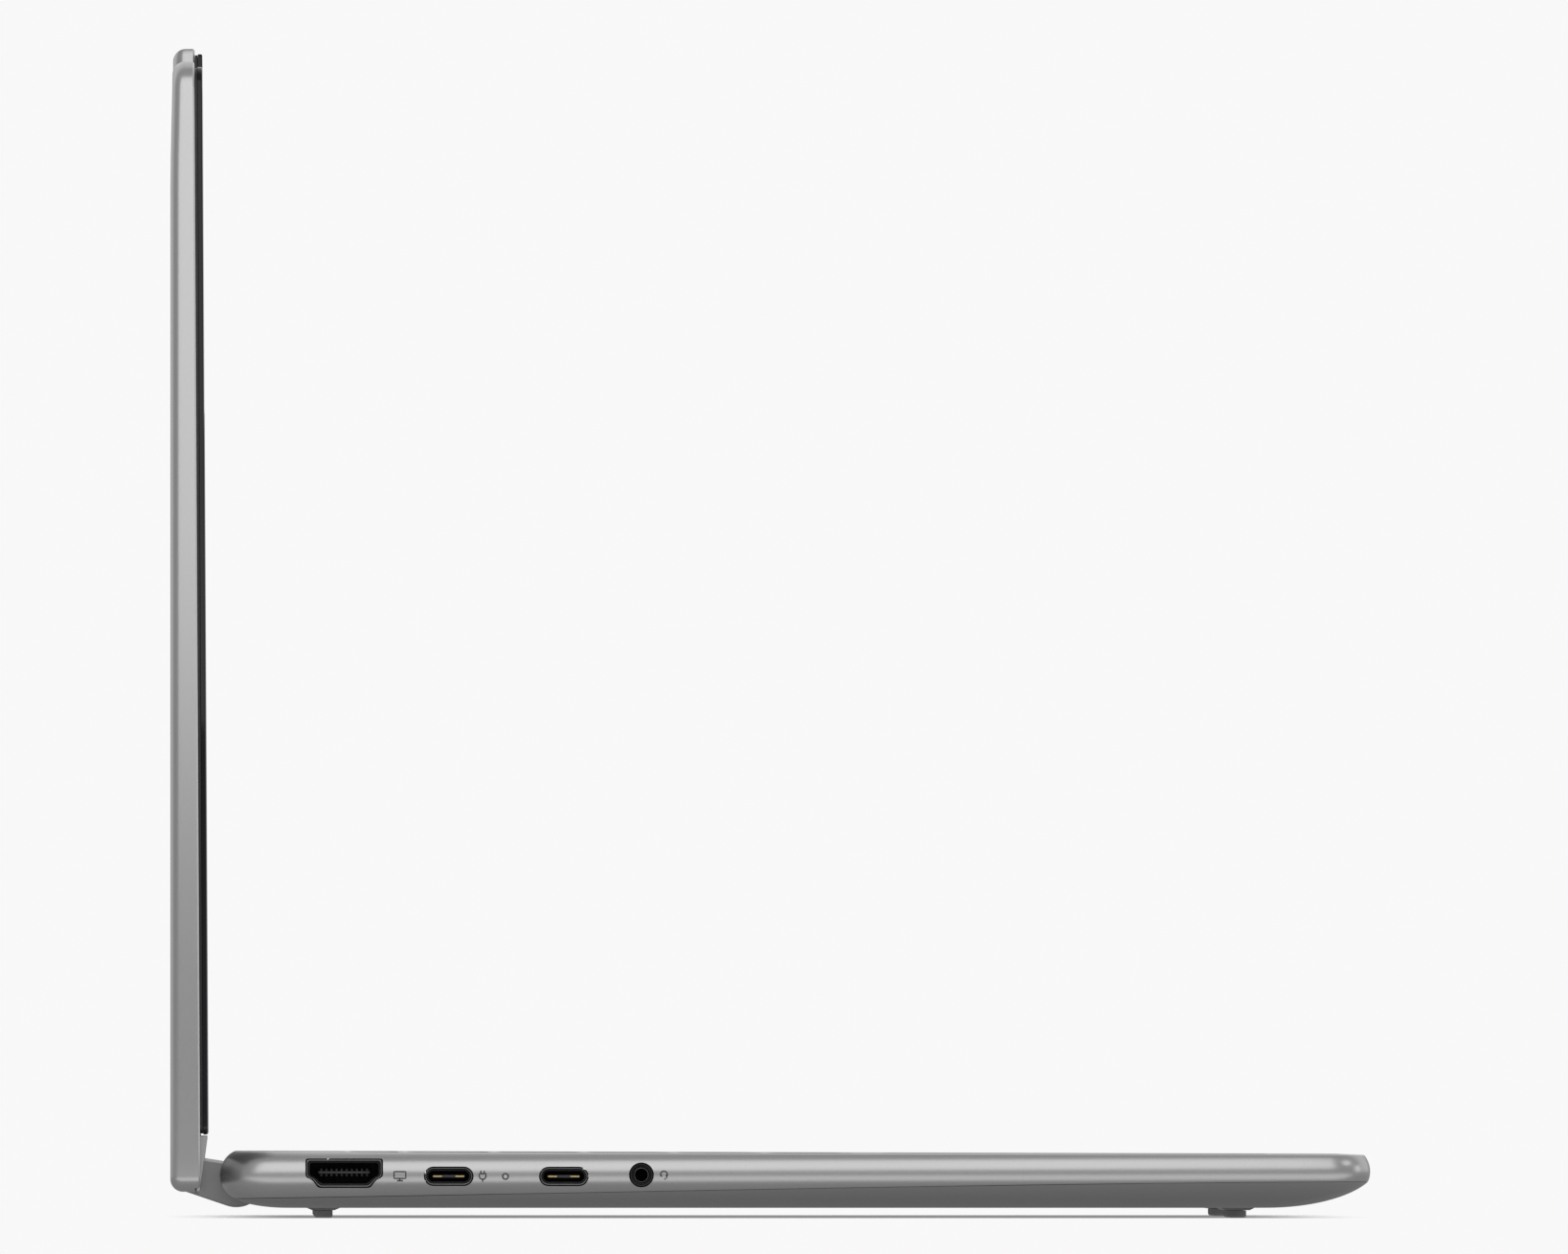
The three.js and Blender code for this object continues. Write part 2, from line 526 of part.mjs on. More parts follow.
function fanRotor() {
  const { x, y, hub, blade, bottom, top } = FAN;
  const { count, thickness, root } = FAN_BLADES;
  const gap = FAN_WALL.sheet + FAN_WALL.rotorPlay;
  const [low, high] = [bottom + gap, top - gap];
  const blades = Array.from({ length: count }, (_, i) => {
    const vane = new THREE.BoxGeometry(blade - hub + root, thickness, high - low);
    vane.translate((blade + hub - root) / 2, 0, (low + high) / 2);
    return solidOf(vane.rotateZ(i * 2 * Math.PI / count).translate(x, y, 0));
  });
  return join(post(hub, [x, y], low, high), ...blades);
}

function heatSink() {
  const { y, z, grooves, margin, grooveHalf, grooveFloor } = HEAT_SINK;
  const half = FAN.duct - margin;
  const cuts = shares(grooves).map((share) => {
    const x = FAN.x + (2 * share - 1) * half;
    return block([x - grooveHalf, x + grooveHalf], [y[0] - 1, y[1] + 1], [grooveFloor, z[1] + 1]);
  });
  return cut(block([FAN.x - FAN.duct, FAN.x + FAN.duct], y, z), ...cuts);
}

// ---- Hinge arms ----------------------------------------------------------------------------------

// Two lobes joined by a tangent below and a nearly level edge on top
function armOutline() {
  const { lobe, tip, crown } = ARM;
  const edgeEnd = [UPPER_AXIS.y - ARM_TOP.run, UPPER_AXIS.z + crown - ARM_TOP.drop];
  const slope = Math.atan(ARM_TOP.slope);
  // The upper edge meets the lower lobe where their heights agree.
  const offset = edgeEnd[1] - LOWER_AXIS.z - ARM_TOP.slope * (edgeEnd[0] - LOWER_AXIS.y);
  const lobeStart = slope + Math.PI - Math.asin(offset * Math.cos(slope) / lobe);
  const dy = UPPER_AXIS.y - LOWER_AXIS.y;
  const dz = UPPER_AXIS.z - LOWER_AXIS.z;
  const tangent = Math.atan2(dz, dy) - Math.acos((lobe - tip) / Math.hypot(dy, dz));
  const outer = UPPER_AXIS.y + tip;
  const crownStart = Math.acos(tip / crown);
  const shape = new THREE.Shape();
  shape.absarc(LOWER_AXIS.y, LOWER_AXIS.z, lobe, lobeStart, tangent + 2 * Math.PI);
  shape.absarc(UPPER_AXIS.y, UPPER_AXIS.z, tip, tangent, 0);
  shape.lineTo(outer, UPPER_AXIS.z + crown * Math.sin(crownStart));
  shape.absarc(UPPER_AXIS.y, UPPER_AXIS.z, crown, crownStart, Math.PI / 2);
  shape.lineTo(...edgeEnd);
  return shape;
}

function hingeArm(side) {
  const bored = mirrored(side, ARM.inner - 1, SHAFT.outer + 1);
  return cut(bar(armOutline(), ...mirrored(side, ARM.inner, ARM.outer), ARM_STEPS),
    pin(SHAFT.lower + SHAFT.play, LOWER_AXIS, ...bored),
    pin(SHAFT.upper + SHAFT.play, UPPER_AXIS, ...bored));
}

const shaft = (side, radius, axis) => (
  pin(radius, axis, ...mirrored(side, SHAFT.inner, SHAFT.outer), MEDIUM_STEPS));

// ---- Lid parts, in the lid's own frame -----------------------------------------------------------

function lidRing(inset, zFront, zRear, length, half) {
  return ring({
    front: -length + inset,
    rear: -inset,
    halfFront: half - inset,
    halfRear: half - inset,
    cornerFront: LID_CORNER - inset,
    cornerRear: LID_HINGE_CORNER,
    zFront,
    zRear,
  });
}

function lidOuter(length, half) {
  const rings = [
    lidRing(RIM_CHAMFER, LID.rim, LID.rim, length, half),
    lidRing(0, LID.rim + RIM_CHAMFER, LID.rim + RIM_CHAMFER, length, half),
  ];
  for (const share of shares(FILLET_STEPS)) {
    const angle = share * Math.PI / 2;
    const inset = LID_FILLET * (1 - Math.cos(angle));
    const drop = LID_FILLET * (1 - Math.sin(angle));
    rings.push(lidRing(inset, LID.backAtEdge - drop, LID.backAtHinge - drop, length, half));
  }
  return skin(rings);
}

const lidNotch = (side) => (
  block(mirrored(side, NOTCH.inner, NOTCH.outer), [-NOTCH.lidDepth, 1], NOTCH.lidHeights));

function lidCover() {
  const outer = join(lidOuter(LID.length, HALF_WIDTH), lidOuter(LID.lip, LID.lipHalf));
  let shell = cut(
    outer,
    block([-LID_CAVITY.half, LID_CAVITY.half], [LID_CAVITY.far, LID_CAVITY.near], [0, LID_CAVITY.depth]),
    block([-CHIN.half - CLEARANCE, CHIN.half + CLEARANCE],
      [CHIN.far - 2 * CLEARANCE, 1], [0, CHIN.back + CLEARANCE]),
    block([-CAMERA.half - CLEARANCE, CAMERA.half + CLEARANCE],
      [CAMERA.far - CLEARANCE, LID_CAVITY.far + 1], [0, CAMERA.top + CLEARANCE]),
  );
  for (const side of [-1, 1]) {
    const leafSlot = mirrored(side, LEAF_INNER - CLEARANCE, UPPER_KNUCKLE.outer + CLEARANCE);
    const knuckleRoom = mirrored(side, UPPER_KNUCKLE.inner - CLEARANCE, UPPER_KNUCKLE.outer + CLEARANCE);
    const through = mirrored(side, UPPER_KNUCKLE.outer - 1, NOTCH.inner + 1);
    shell = cut(
      shell,
      lidNotch(side),
      block(leafSlot, [LID_BRACKET_ROOM.far, LID_AXIS.y], LID_BRACKET_ROOM.z),
      pin(UPPER_KNUCKLE.pocket, LID_AXIS, ...knuckleRoom),
      pin(SHAFT.upper + SHAFT.play, LID_AXIS, ...through),
    );
  }
  return shell;
}

// A sheet with the plan of the cover glass: a rectangle with a tab that reaches into the lip
function lidSheet(inset, z0, z1) {
  const [near, far] = [GLASS.near - inset, GLASS.far + inset];
  const middle = (near + far) / 2;
  const main = roundedRectangle(2 * (GLASS.half - inset), near - far, GLASS.corner - inset, 0, middle);
  const root = LID.lipHalf - inset;
  const end = root - TAB_TAPER;
  const tip = GLASS.tab + inset;
  const tab = polygon([
    [-root, far + 1], [-root, far], [-end, tip], [end, tip], [root, far], [root, far + 1],
  ]);
  return join(slab(main, z0, z1), slab(tab, z0, z1));
}

function displayGasket() {
  const { left, right, near, far, travel } = SHUTTER;
  const { along, across } = SHUTTER_PLAY;
  const window = block([-GASKET.half, GASKET.half], [GASKET.far, GASKET.near], [0, 2]);
  const shutterSlot = block(
    [left - travel - along, right + along], [far - across, near + across], [0, 2]);
  return cut(lidSheet(GASKET.inset, GASKET.bottom, GASKET.top), window, shutterSlot);
}

function lidChin() {
  const { half, near, far, crest, foot, back } = CHIN;
  const wedge = bar(polygon([[far, crest], [near, foot], [near, back], [far, back]]), -half, half);
  return cut(wedge, ...[-1, 1].map(lidNotch));
}

function lidBracket(side) {
  const { radius, bore, inner, outer } = UPPER_KNUCKLE;
  const { leafY, neckFar, z } = LID_BRACKET;
  const knuckle = pin(radius, LID_AXIS, ...mirrored(side, inner, outer));
  const leaf = block(mirrored(side, LEAF_INNER, outer), leafY, z);
  const neck = block(mirrored(side, inner, outer), [neckFar, LID_AXIS.y], z);
  return cut(join(knuckle, leaf, neck), pin(bore, LID_AXIS, ...mirrored(side, inner - 1, outer + 1)));
}

// ---- Materials -----------------------------------------------------------------------------------

const material = (color, roughness, metalness) => (
  new THREE.MeshStandardMaterial({ color, roughness, metalness }));
const ALUMINIUM = material(0x8d8f92, 0.38, 0.9);
const DARK_METAL = material(0x5c5e61, 0.42, 0.85);
const STEEL = material(0x9b9da0, 0.35, 0.95);
const BLACK_GLASS = material(0x0a0b0d, 0.08, 0);
const BLACK_PLASTIC = material(0x1b1c1e, 0.6, 0);
const KEY_PLASTIC = material(0x2a2b2e, 0.65, 0);
const RUBBER = material(0x3b3c3e, 0.85, 0);
const BOARD = material(0x1d3a2a, 0.6, 0.05);
const COPPER = material(0xb4704a, 0.35, 0.95);
const BATTERY_WRAP = material(0x151517, 0.5, 0);
const LIGHT_PIPE = material(0xe8e8e4, 0.4, 0);
const PANEL_DARK = material(0x101114, 0.25, 0);

// ---- Assembly ------------------------------------------------------------------------------------

function add(group, name, solid, look) {
  const mesh = new THREE.Mesh(geometryOf(solid), look);
  mesh.name = name;
  group.add(mesh);
}

const laptop = new THREE.Group();
const keyboard = new THREE.Group();
keyboard.position.set(0, 0, DECK_AT_ORIGIN);
keyboard.rotation.x = DECK_SLOPE;
const lid = new THREE.Group();
lid.position.set(...LID_PLACE);
lid.rotation.x = LID_TILT;
laptop.add(keyboard, lid);

add(laptop, 'top_case', topCase(), ALUMINIUM);
add(laptop, 'bottom_cover', bottomCover(), DARK_METAL);
add(laptop, 'rear_foot', block(REAR_FOOT.x, REAR_FOOT.y, [0, FOOT_TOP]), RUBBER);
SCREWS.forEach((place, i) => add(laptop, `bottom_screw_${i + 1}`, screw(place), STEEL));
add(laptop, 'mainboard', slab(polygon(MAINBOARD.outline), ...MAINBOARD.z), BOARD);
add(laptop, 'battery', slab(
  roundedRectangle(BATTERY.width, BATTERY.depth, BATTERY.corner, 0, BATTERY.y), ...BATTERY.z), BATTERY_WRAP);
add(laptop, 'fan_housing', fanHousing(), BLACK_PLASTIC);
add(laptop, 'fan_rotor', fanRotor(), BLACK_PLASTIC);
add(laptop, 'heat_pipe', slab(polygon(HEAT_PIPE.path), ...HEAT_PIPE.z), COPPER);
add(laptop, 'heat_sink', heatSink(), COPPER);
add(laptop, 'ssd', slab(roundedRectangle(SSD.width, SSD.depth, SSD.corner, SSD.x, SSD.y), ...SSD.z), BOARD);
add(laptop, 'video_port', videoPort(), STEEL);
for (const [name, place] of Object.entries(USB_C_PLACES)) add(laptop, name, usbCPort(place), STEEL);
for (const [name, place] of Object.entries(USB_A_PLACES)) add(laptop, name, usbAPort(place), STEEL);
add(laptop, 'audio_jack', audioJack(), BLACK_PLASTIC);
add(laptop, 'charge_led', pin(
  CHARGE_LED.radius, CHARGE_LED, -CHARGE_LED.outer, -CHARGE_LED.inner, SMALL_STEPS), LIGHT_PIPE);
add(laptop, 'card_slot', cardSlot(), STEEL);
add(laptop, 'power_button', bar(buttonOutline(0), POWER_BUTTON.inner, POWER_BUTTON.outer), ALUMINIUM);

for (const [name, side] of [['left', -1], ['right', 1]]) {
  const foot = block(mirrored(side, ...FRONT_FOOT.x), FRONT_FOOT.y, [0, FOOT_TOP]);
  add(laptop, `front_foot_${name}`, foot, RUBBER);
  add(laptop, `speaker_${name}`, block(mirrored(side, ...SPEAKER.x), SPEAKER.y, SPEAKER.z), BLACK_PLASTIC);
  add(laptop, `base_hinge_bracket_${name}`, baseBracket(side), STEEL);
  add(laptop, `hinge_arm_${name}`, hingeArm(side), ALUMINIUM);
  add(laptop, `lower_shaft_${name}`, shaft(side, SHAFT.lower, LOWER_AXIS), STEEL);
  add(laptop, `upper_shaft_${name}`, shaft(side, SHAFT.upper, UPPER_AXIS), STEEL);
  add(lid, `lid_hinge_bracket_${name}`, lidBracket(side), STEEL);
}

for (const [name, caps] of Object.entries(CAPS)) add(keyboard, name, keyNode(caps), KEY_PLASTIC);
add(keyboard, 'keyboard_plate', block(
  [-KEYBOARD_PLATE.half, KEYBOARD_PLATE.half], [KEYBOARD_PLATE.front, KEYBOARD_PLATE.rear],
  [KEYBOARD_PLATE.bottom, KEYBOARD_PLATE.top]), BLACK_PLASTIC);
add(keyboard, 'touchpad', touchpad(), ALUMINIUM);

add(lid, 'lid_cover', lidCover(), ALUMINIUM);
add(lid, 'display_glass', lidSheet(0, 0, GLASS.thickness), BLACK_GLASS);
add(lid, 'display_gasket', displayGasket(), BLACK_PLASTIC);
add(lid, 'lcd_panel', block(
  [-PANEL.half, PANEL.half], [PANEL.far, PANEL.near], [PANEL.bottom, PANEL.top]), PANEL_DARK);
add(lid, 'lid_chin', lidChin(), ALUMINIUM);
add(lid, 'camera_module', block(
  [-CAMERA.half, CAMERA.half], [CAMERA.far, CAMERA.near], [CAMERA.bottom, CAMERA.top]), BLACK_PLASTIC);
const shutterHeights = [GASKET.bottom + SHUTTER_PLAY.height, GASKET.top - SHUTTER_PLAY.height];
add(lid, 'camera_shutter', block(
  [SHUTTER.left, SHUTTER.right], [SHUTTER.far, SHUTTER.near], shutterHeights), BLACK_PLASTIC);

export default laptop;
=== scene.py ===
"""Looks of a 14-inch convertible laptop, open at a right angle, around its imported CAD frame."""
import math

import bpy
from mathutils import Matrix, Vector
from mathutils.bvhtree import BVHTree
from mathutils.geometry import barycentric_transform

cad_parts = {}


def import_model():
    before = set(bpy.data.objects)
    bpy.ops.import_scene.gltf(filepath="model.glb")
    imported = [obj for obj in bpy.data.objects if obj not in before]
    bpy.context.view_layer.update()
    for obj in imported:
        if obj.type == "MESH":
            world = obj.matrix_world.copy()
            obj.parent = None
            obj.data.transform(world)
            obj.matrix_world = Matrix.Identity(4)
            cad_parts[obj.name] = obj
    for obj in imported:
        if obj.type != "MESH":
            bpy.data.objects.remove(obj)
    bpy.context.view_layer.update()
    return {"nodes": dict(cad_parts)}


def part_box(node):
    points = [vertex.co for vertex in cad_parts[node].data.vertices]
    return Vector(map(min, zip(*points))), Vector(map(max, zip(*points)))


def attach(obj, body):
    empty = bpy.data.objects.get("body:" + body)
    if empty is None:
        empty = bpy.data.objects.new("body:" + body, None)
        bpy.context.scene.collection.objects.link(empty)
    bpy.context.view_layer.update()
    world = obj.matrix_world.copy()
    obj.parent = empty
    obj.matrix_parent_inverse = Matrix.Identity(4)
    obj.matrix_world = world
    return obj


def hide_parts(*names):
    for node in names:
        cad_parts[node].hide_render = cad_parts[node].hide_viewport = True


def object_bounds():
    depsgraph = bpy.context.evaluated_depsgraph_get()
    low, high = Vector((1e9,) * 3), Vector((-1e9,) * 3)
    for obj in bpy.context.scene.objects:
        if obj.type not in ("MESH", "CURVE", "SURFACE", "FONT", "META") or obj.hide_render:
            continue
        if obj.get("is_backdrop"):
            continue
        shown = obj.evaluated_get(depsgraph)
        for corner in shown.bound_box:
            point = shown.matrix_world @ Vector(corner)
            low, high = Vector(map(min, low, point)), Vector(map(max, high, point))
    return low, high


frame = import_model()

# ---- Sizes in millimetres. MM turns them into metres where a mesh is made. ----

MM = 0.001


def limits(node):
    low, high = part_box(node)
    return low / MM, high / MM


CASE_LOW, CASE_HIGH = limits("top_case")
HALF_WIDTH, FRONT_Y, REAR_Y = CASE_HIGH.x, CASE_LOW.y, CASE_HIGH.y
EDGE_RADIUS = 5.08
FRONT_CENTRE, REAR_CENTRE = 9.15, 8.4  # heights of the round side edge's centre
FRONT_DECK, REAR_DECK = 12.43, 13.06
REAR_SEAM, SEAM_RISE = 3.77, 3.4
FRONT_CORNER, REAR_CORNER = 8.0, 11.0
WALL = 1.2
UNDERSIDE = limits("bottom_cover")[0].z + 0.5  # the pads drop 0.5 below it
SEAM_GAP = 0.04
BELLY_ANGLE = math.radians(65)
FRONT_BELLY, REAR_BELLY, FRONT_SIDE_BELLY, REAR_SIDE_BELLY = 20.3, 13.3, 14.0, 12.0

LOWER_AXIS = (105.34, 7.92)  # y and z of the hinge axes
UPPER_AXIS = (115.96, 7.74)
NOTCH_INNER, NOTCH_OUTER, NOTCH_FRONT, NOTCH_WALL = 84.5, 125.5, 99.1, 1.0

LID_MATRIX = Matrix.Translation((0, 110.89, 5.19)) @ Matrix.Rotation(math.radians(-90.31), 4, "X")
LID_LENGTH, LID_LIP, LIP_HALF, LIP_BLEND = 222.9, 4.38, 48.8, 1.2
LID_RIM = 1.55
LID_CORNER, LID_FILLET = 5.5, 2.5
LID_AXIS = (-2.55, 5.06)
GLASS_HALF, GLASS_NEAR, GLASS_FAR, GLASS_TAB = 155.65, -11.26, -221.8, 4.4

KEY_UNIT, KEY_GAP, KEYBOARD_REAR = 18.2, 2.6, 84.0
KEY_TOP = -0.1

CORNER_STEPS = 8
SIDE_STEPS = 32
END_STEPS = 8


# ---- Meshes ----

def piece_from(name, points, faces, matrix=None):
    """A mesh object from points in millimetres."""
    mesh = bpy.data.meshes.new(name)
    if matrix is not None:
        points = [matrix @ Vector(p) for p in points]
    mesh.from_pydata([Vector(p) * MM for p in points], [], faces)
    mesh.validate()
    piece = bpy.data.objects.new(name, mesh)
    bpy.context.scene.collection.objects.link(piece)
    return piece


def tube(rings, endless=True):
    """Points and faces between rings of equal length. When endless, the last ring joins the first."""
    count = len(rings[0])
    points = [tuple(p) for ring in rings for p in ring]
    faces = []
    for level in range(len(rings) if endless else len(rings) - 1):
        low, high = level * count, (level + 1) % len(rings) * count
        for i in range(count):
            j = (i + 1) % count
            faces.append((low + i, low + j, high + j, high + i))
    return points, faces


def loft(rings):
    """Points and faces of the closed solid through rings of equal length, from low to high."""
    points, faces = tube(rings, endless=False)
    count = len(rings[0])
    return points, faces + [tuple(reversed(range(count))), tuple(range(len(points) - count, len(points)))]


def merged(solids):
    """Points and faces of several solids as one list."""
    points, faces = [], []
    for some_points, some_faces in solids:
        start = len(points)
        points += some_points
        faces += [tuple(i + start for i in face) for face in some_faces]
    return points, faces


def rounded(width, height, radius, centre=(0, 0), steps=6):
    """A rectangle with round corners, anticlockwise."""
    outline = []
    for quarter, (sx, sy) in enumerate(((1, 1), (-1, 1), (-1, -1), (1, -1))):
        cx, cy = centre[0] + sx * (width / 2 - radius), centre[1] + sy * (height / 2 - radius)
        for step in range(steps + 1):
            angle = (quarter + step / steps) * math.pi / 2
            outline.append((cx + radius * math.cos(angle), cy + radius * math.sin(angle)))
    return outline


def circle(radius, centre=(0, 0), steps=32):
    return [(centre[0] + radius * math.cos(2 * math.pi * i / steps),
             centre[1] + radius * math.sin(2 * math.pi * i / steps)) for i in range(steps)]


def prism_z(outline, low, high):
    return loft([[(x, y, z) for x, y in outline] for z in (low, high)])


def prism_x(outline, low, high):
    """A solid along x from an outline of (y, z)."""
    return loft([[(x, y, z) for y, z in outline] for x in (low, high)])


def block(low, high):
    (x0, y0, z0), (x1, y1, z1) = low, high
    return prism_z([(x1, y1), (x0, y1), (x0, y0), (x1, y0)], z0, z1)


def stack(outline_at, levels, axis="Z"):
    """A solid through levels of (height, inset), where outline_at(inset) is the outline there."""
    rings = []
    for height, inset in levels:
        if axis == "Z":
            rings.append([(x, y, height) for x, y in outline_at(inset)])
        else:
            rings.append([(height, y, z) for y, z in outline_at(inset)])
    return loft(rings)


def spans(side, inner, outer):
    return (inner, outer) if side > 0 else (-outer, -inner)


def both_sides(across, along, up):
    """A block on each side of the middle, from an inner to an outer face."""
    faces = [spans(side, *across) for side in (-1, 1)]
    return [block((x0, along[0], up[0]), (x1, along[1], up[1])) for x0, x1 in faces]


def evaluated(piece):
    """Replaces the mesh of a piece by what its modifiers make of it."""
    graph = bpy.context.evaluated_depsgraph_get()
    mesh = bpy.data.meshes.new_from_object(piece.evaluated_get(graph))
    piece.modifiers.clear()
    old, piece.data = piece.data, mesh
    bpy.data.meshes.remove(old)


def combine(piece, tool, operation):
    """Cuts a piece with another, or joins them, and removes the other."""
    modifier = piece.modifiers.new("combine", "BOOLEAN")
    modifier.object, modifier.operation, modifier.solver = tool, operation, "EXACT"
    evaluated(piece)
    mesh = tool.data
    bpy.data.objects.remove(tool)
    bpy.data.meshes.remove(mesh)


def carve(piece, solids, operation="DIFFERENCE", matrix=None):
    """Cuts solids from a piece, or joins them to it. The solids don't touch each other."""
    combine(piece, piece_from("tool", *merged(solids), matrix), operation)


def smooth(piece, angle=32):
    for polygon in piece.data.polygons:
        polygon.use_smooth = True
    piece.data.set_sharp_from_angle(angle=math.radians(angle))


ON_SURFACE = 0.012  # how near a face's centre lies to a surface that it belongs to
SLIVER = 0.002  # an area too small for a face's own direction to be trusted


def keep_curvature(piece, points, faces, matrix=None):
    """Gives a carved piece the smooth normals that its outer surface had before it was cut."""
    source = piece_from("uncut", points, faces, matrix)
    smooth(source)
    mesh = source.data
    corner_normals = [Vector(n.vector) for n in mesh.corner_normals]
    mesh.calc_loop_triangles()
    triangles = [(tuple(t.vertices), tuple(t.loops), Vector(t.normal)) for t in mesh.loop_triangles]
    places = [v.co.copy() for v in mesh.vertices]
    tree = BVHTree.FromPolygons(places, [t[0] for t in triangles])
    normals = [Vector((0, 0, 0))] * len(piece.data.loops)
    for polygon in piece.data.polygons:
        _, _, index, distance = tree.find_nearest(polygon.center)
        if distance > ON_SURFACE * MM:
            continue
        facing = triangles[index][2]
        if polygon.area > SLIVER * MM * MM and polygon.normal.dot(facing) < 0.95:
            continue
        for loop in polygon.loop_indices:
            place = piece.data.vertices[piece.data.loops[loop].vertex_index].co
            near = [(hit[3], hit[2]) for hit in tree.find_nearest_range(place, ON_SURFACE * MM)
                    if triangles[hit[2]][2].dot(facing) > 0.9]
            chosen = min(near)[1] if near else index
            vertices, loops, _ = triangles[chosen]
            normal = barycentric_transform(
                place, *(places[v] for v in vertices), *(corner_normals[i] for i in loops))
            normals[loop] = normal.normalized() if normal.length > 0.1 else facing
    smooth(piece)
    piece.data.normals_split_custom_set(normals)
    bpy.data.objects.remove(source)
    bpy.data.meshes.remove(mesh)


def bevel(piece, width, segments=2, angle=35):
    modifier = piece.modifiers.new("edge", "BEVEL")
    modifier.width, modifier.segments = width * MM, segments
    modifier.limit_method, modifier.angle_limit = "ANGLE", math.radians(angle)
    modifier.harden_normals = True


def place(piece, body, material, slot, *nodes):
    """Settles a finished piece: its body, look and the CAD nodes it stands for. The slot argument is not
    used.
    """
    piece.data.materials.clear()
    piece.data.materials.append(material)
    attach(piece, body)
    if nodes:
        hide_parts(*nodes)


def settle(piece, angle, *placing):
    """Smooths a finished piece up to an angle, and places it."""
    smooth(piece, angle)
    place(piece, *placing)


# ---- Materials ----

class Look:
    """A principled material with helpers for the procedural parts."""

    def __init__(self, name, color, roughness, metallic=0.0, **sockets):
        self.material = bpy.data.materials.new(name)
        self.material.use_nodes = True
        self.tree = self.material.node_tree
        self.shader = self.tree.nodes["Principled BSDF"]
        self.shader.inputs["Base Color"].default_value = (*color, 1)
        self.shader.inputs["Roughness"].default_value = roughness
        self.shader.inputs["Metallic"].default_value = metallic
        for socket, value in sockets.items():
            self.shader.inputs[socket.replace("_", " ")].default_value = value
        self.place = self.tree.nodes.new("ShaderNodeTexCoord").outputs["Object"]

    def node(self, kind, **inputs):
        node = self.tree.nodes.new(kind)
        for name, value in inputs.items():
            socket = node.inputs[name.replace("_", " ")]
            if isinstance(value, bpy.types.NodeSocket):
                self.tree.links.new(value, socket)
            else:
                socket.default_value = value
        return node

    def noise(self, scale, detail=2.0, stretch=None):
        place = self.place
        if stretch:
            place = self.node("ShaderNodeMapping", Vector=place, Scale=stretch).outputs["Vector"]
        return self.node("ShaderNodeTexNoise", Vector=place, Scale=scale, Detail=detail).outputs["Fac"]

    def ramp(self, factor, low, high):
        """A value from low to high as the factor goes from 0.3 to 0.7."""
        node = self.node("ShaderNodeMapRange", Value=factor, From_Min=0.3, From_Max=0.7,
                         To_Min=low, To_Max=high)
        return node.outputs["Result"]

    def vary_color(self, factor, low, high):
        mix = self.tree.nodes.new("ShaderNodeMix")
        mix.data_type = "RGBA"
        self.tree.links.new(self.ramp(factor, 0, 1), mix.inputs["Factor"])
        mix.inputs[6].default_value, mix.inputs[7].default_value = (*low, 1), (*high, 1)
        self.tree.links.new(mix.outputs[2], self.shader.inputs["Base Color"])

    def vary_roughness(self, factor, low, high):
        self.tree.links.new(self.ramp(factor, low, high), self.shader.inputs["Roughness"])

    def bump(self, height, strength, depth_mm):
        node = self.node("ShaderNodeBump", Height=height, Strength=strength, Distance=depth_mm * MM)
        self.tree.links.new(node.outputs["Normal"], self.shader.inputs["Normal"])


def shade(color, factor):
    return tuple(c * factor for c in color)


def blasted_metal(name, color, roughness):
    look = Look(name, color, roughness, 0.86)
    look.vary_color(look.noise(12, 2), shade(color, 0.985), shade(color, 1.015))
    look.vary_roughness(look.noise(14000, 2), roughness - 0.04, roughness + 0.04)
    look.bump(look.noise(14000, 2), 0.06, 0.003)
    return look.material


def moulded_plastic(name, color, roughness, grain=2500):
    look = Look(name, color, roughness)
    look.vary_color(look.noise(60, 3), shade(color, 0.9), shade(color, 1.1))
    look.vary_roughness(look.noise(400, 3), roughness - 0.05, roughness + 0.05)
    look.bump(look.noise(grain, 3), 0.25, 0.02)
    return look.material


def rubber(name, color):
    look = Look(name, color, 0.8)
    look.vary_color(look.noise(120, 3), shade(color, 0.85), shade(color, 1.15))
    look.vary_roughness(look.noise(500, 3), 0.7, 0.88)
    look.bump(look.noise(1800, 3), 0.4, 0.03)
    return look.material


def plated_steel(name, color, roughness):
    look = Look(name, color, roughness, 1.0)
    brushed = look.noise(400, 4, stretch=(1, 12, 12))
    look.vary_color(brushed, shade(color, 0.92), shade(color, 1.06))
    look.vary_roughness(brushed, roughness - 0.05, roughness + 0.08)
    look.bump(brushed, 0.1, 0.004)
    return look.material


def black_glass(name):
    """Polished black cover glass."""
    look = Look(name, (0.004, 0.004, 0.005), 0.05, Specular_IOR_Level=0.3)
    look.vary_color(look.noise(6, 2), (0.003, 0.003, 0.004), (0.006, 0.006, 0.008))
    look.vary_roughness(look.noise(20, 3), 0.03, 0.07)
    return look.material


def satin_glass(name, color):
    """Etched glass with a very even sheen."""
    look = Look(name, color, 0.34)
    look.vary_color(look.noise(40, 2), shade(color, 0.99), shade(color, 1.01))
    look.vary_roughness(look.noise(8000, 2), 0.32, 0.36)
    return look.material


def clear(name):
    look = Look(name, (0.9, 0.92, 0.95), 0.03, IOR=1.45, Transmission_Weight=1.0)
    look.vary_roughness(look.noise(30, 2), 0.01, 0.05)
    return look.material


def circuit_board(name):
    look = Look(name, (0.02, 0.09, 0.045), 0.45)
    tracks = look.node("ShaderNodeTexBrick", Vector=look.place, Scale=220).outputs["Fac"]
    look.vary_color(tracks, (0.012, 0.07, 0.03), (0.03, 0.12, 0.06))
    look.bump(tracks, 0.3, 0.03)
    return look.material


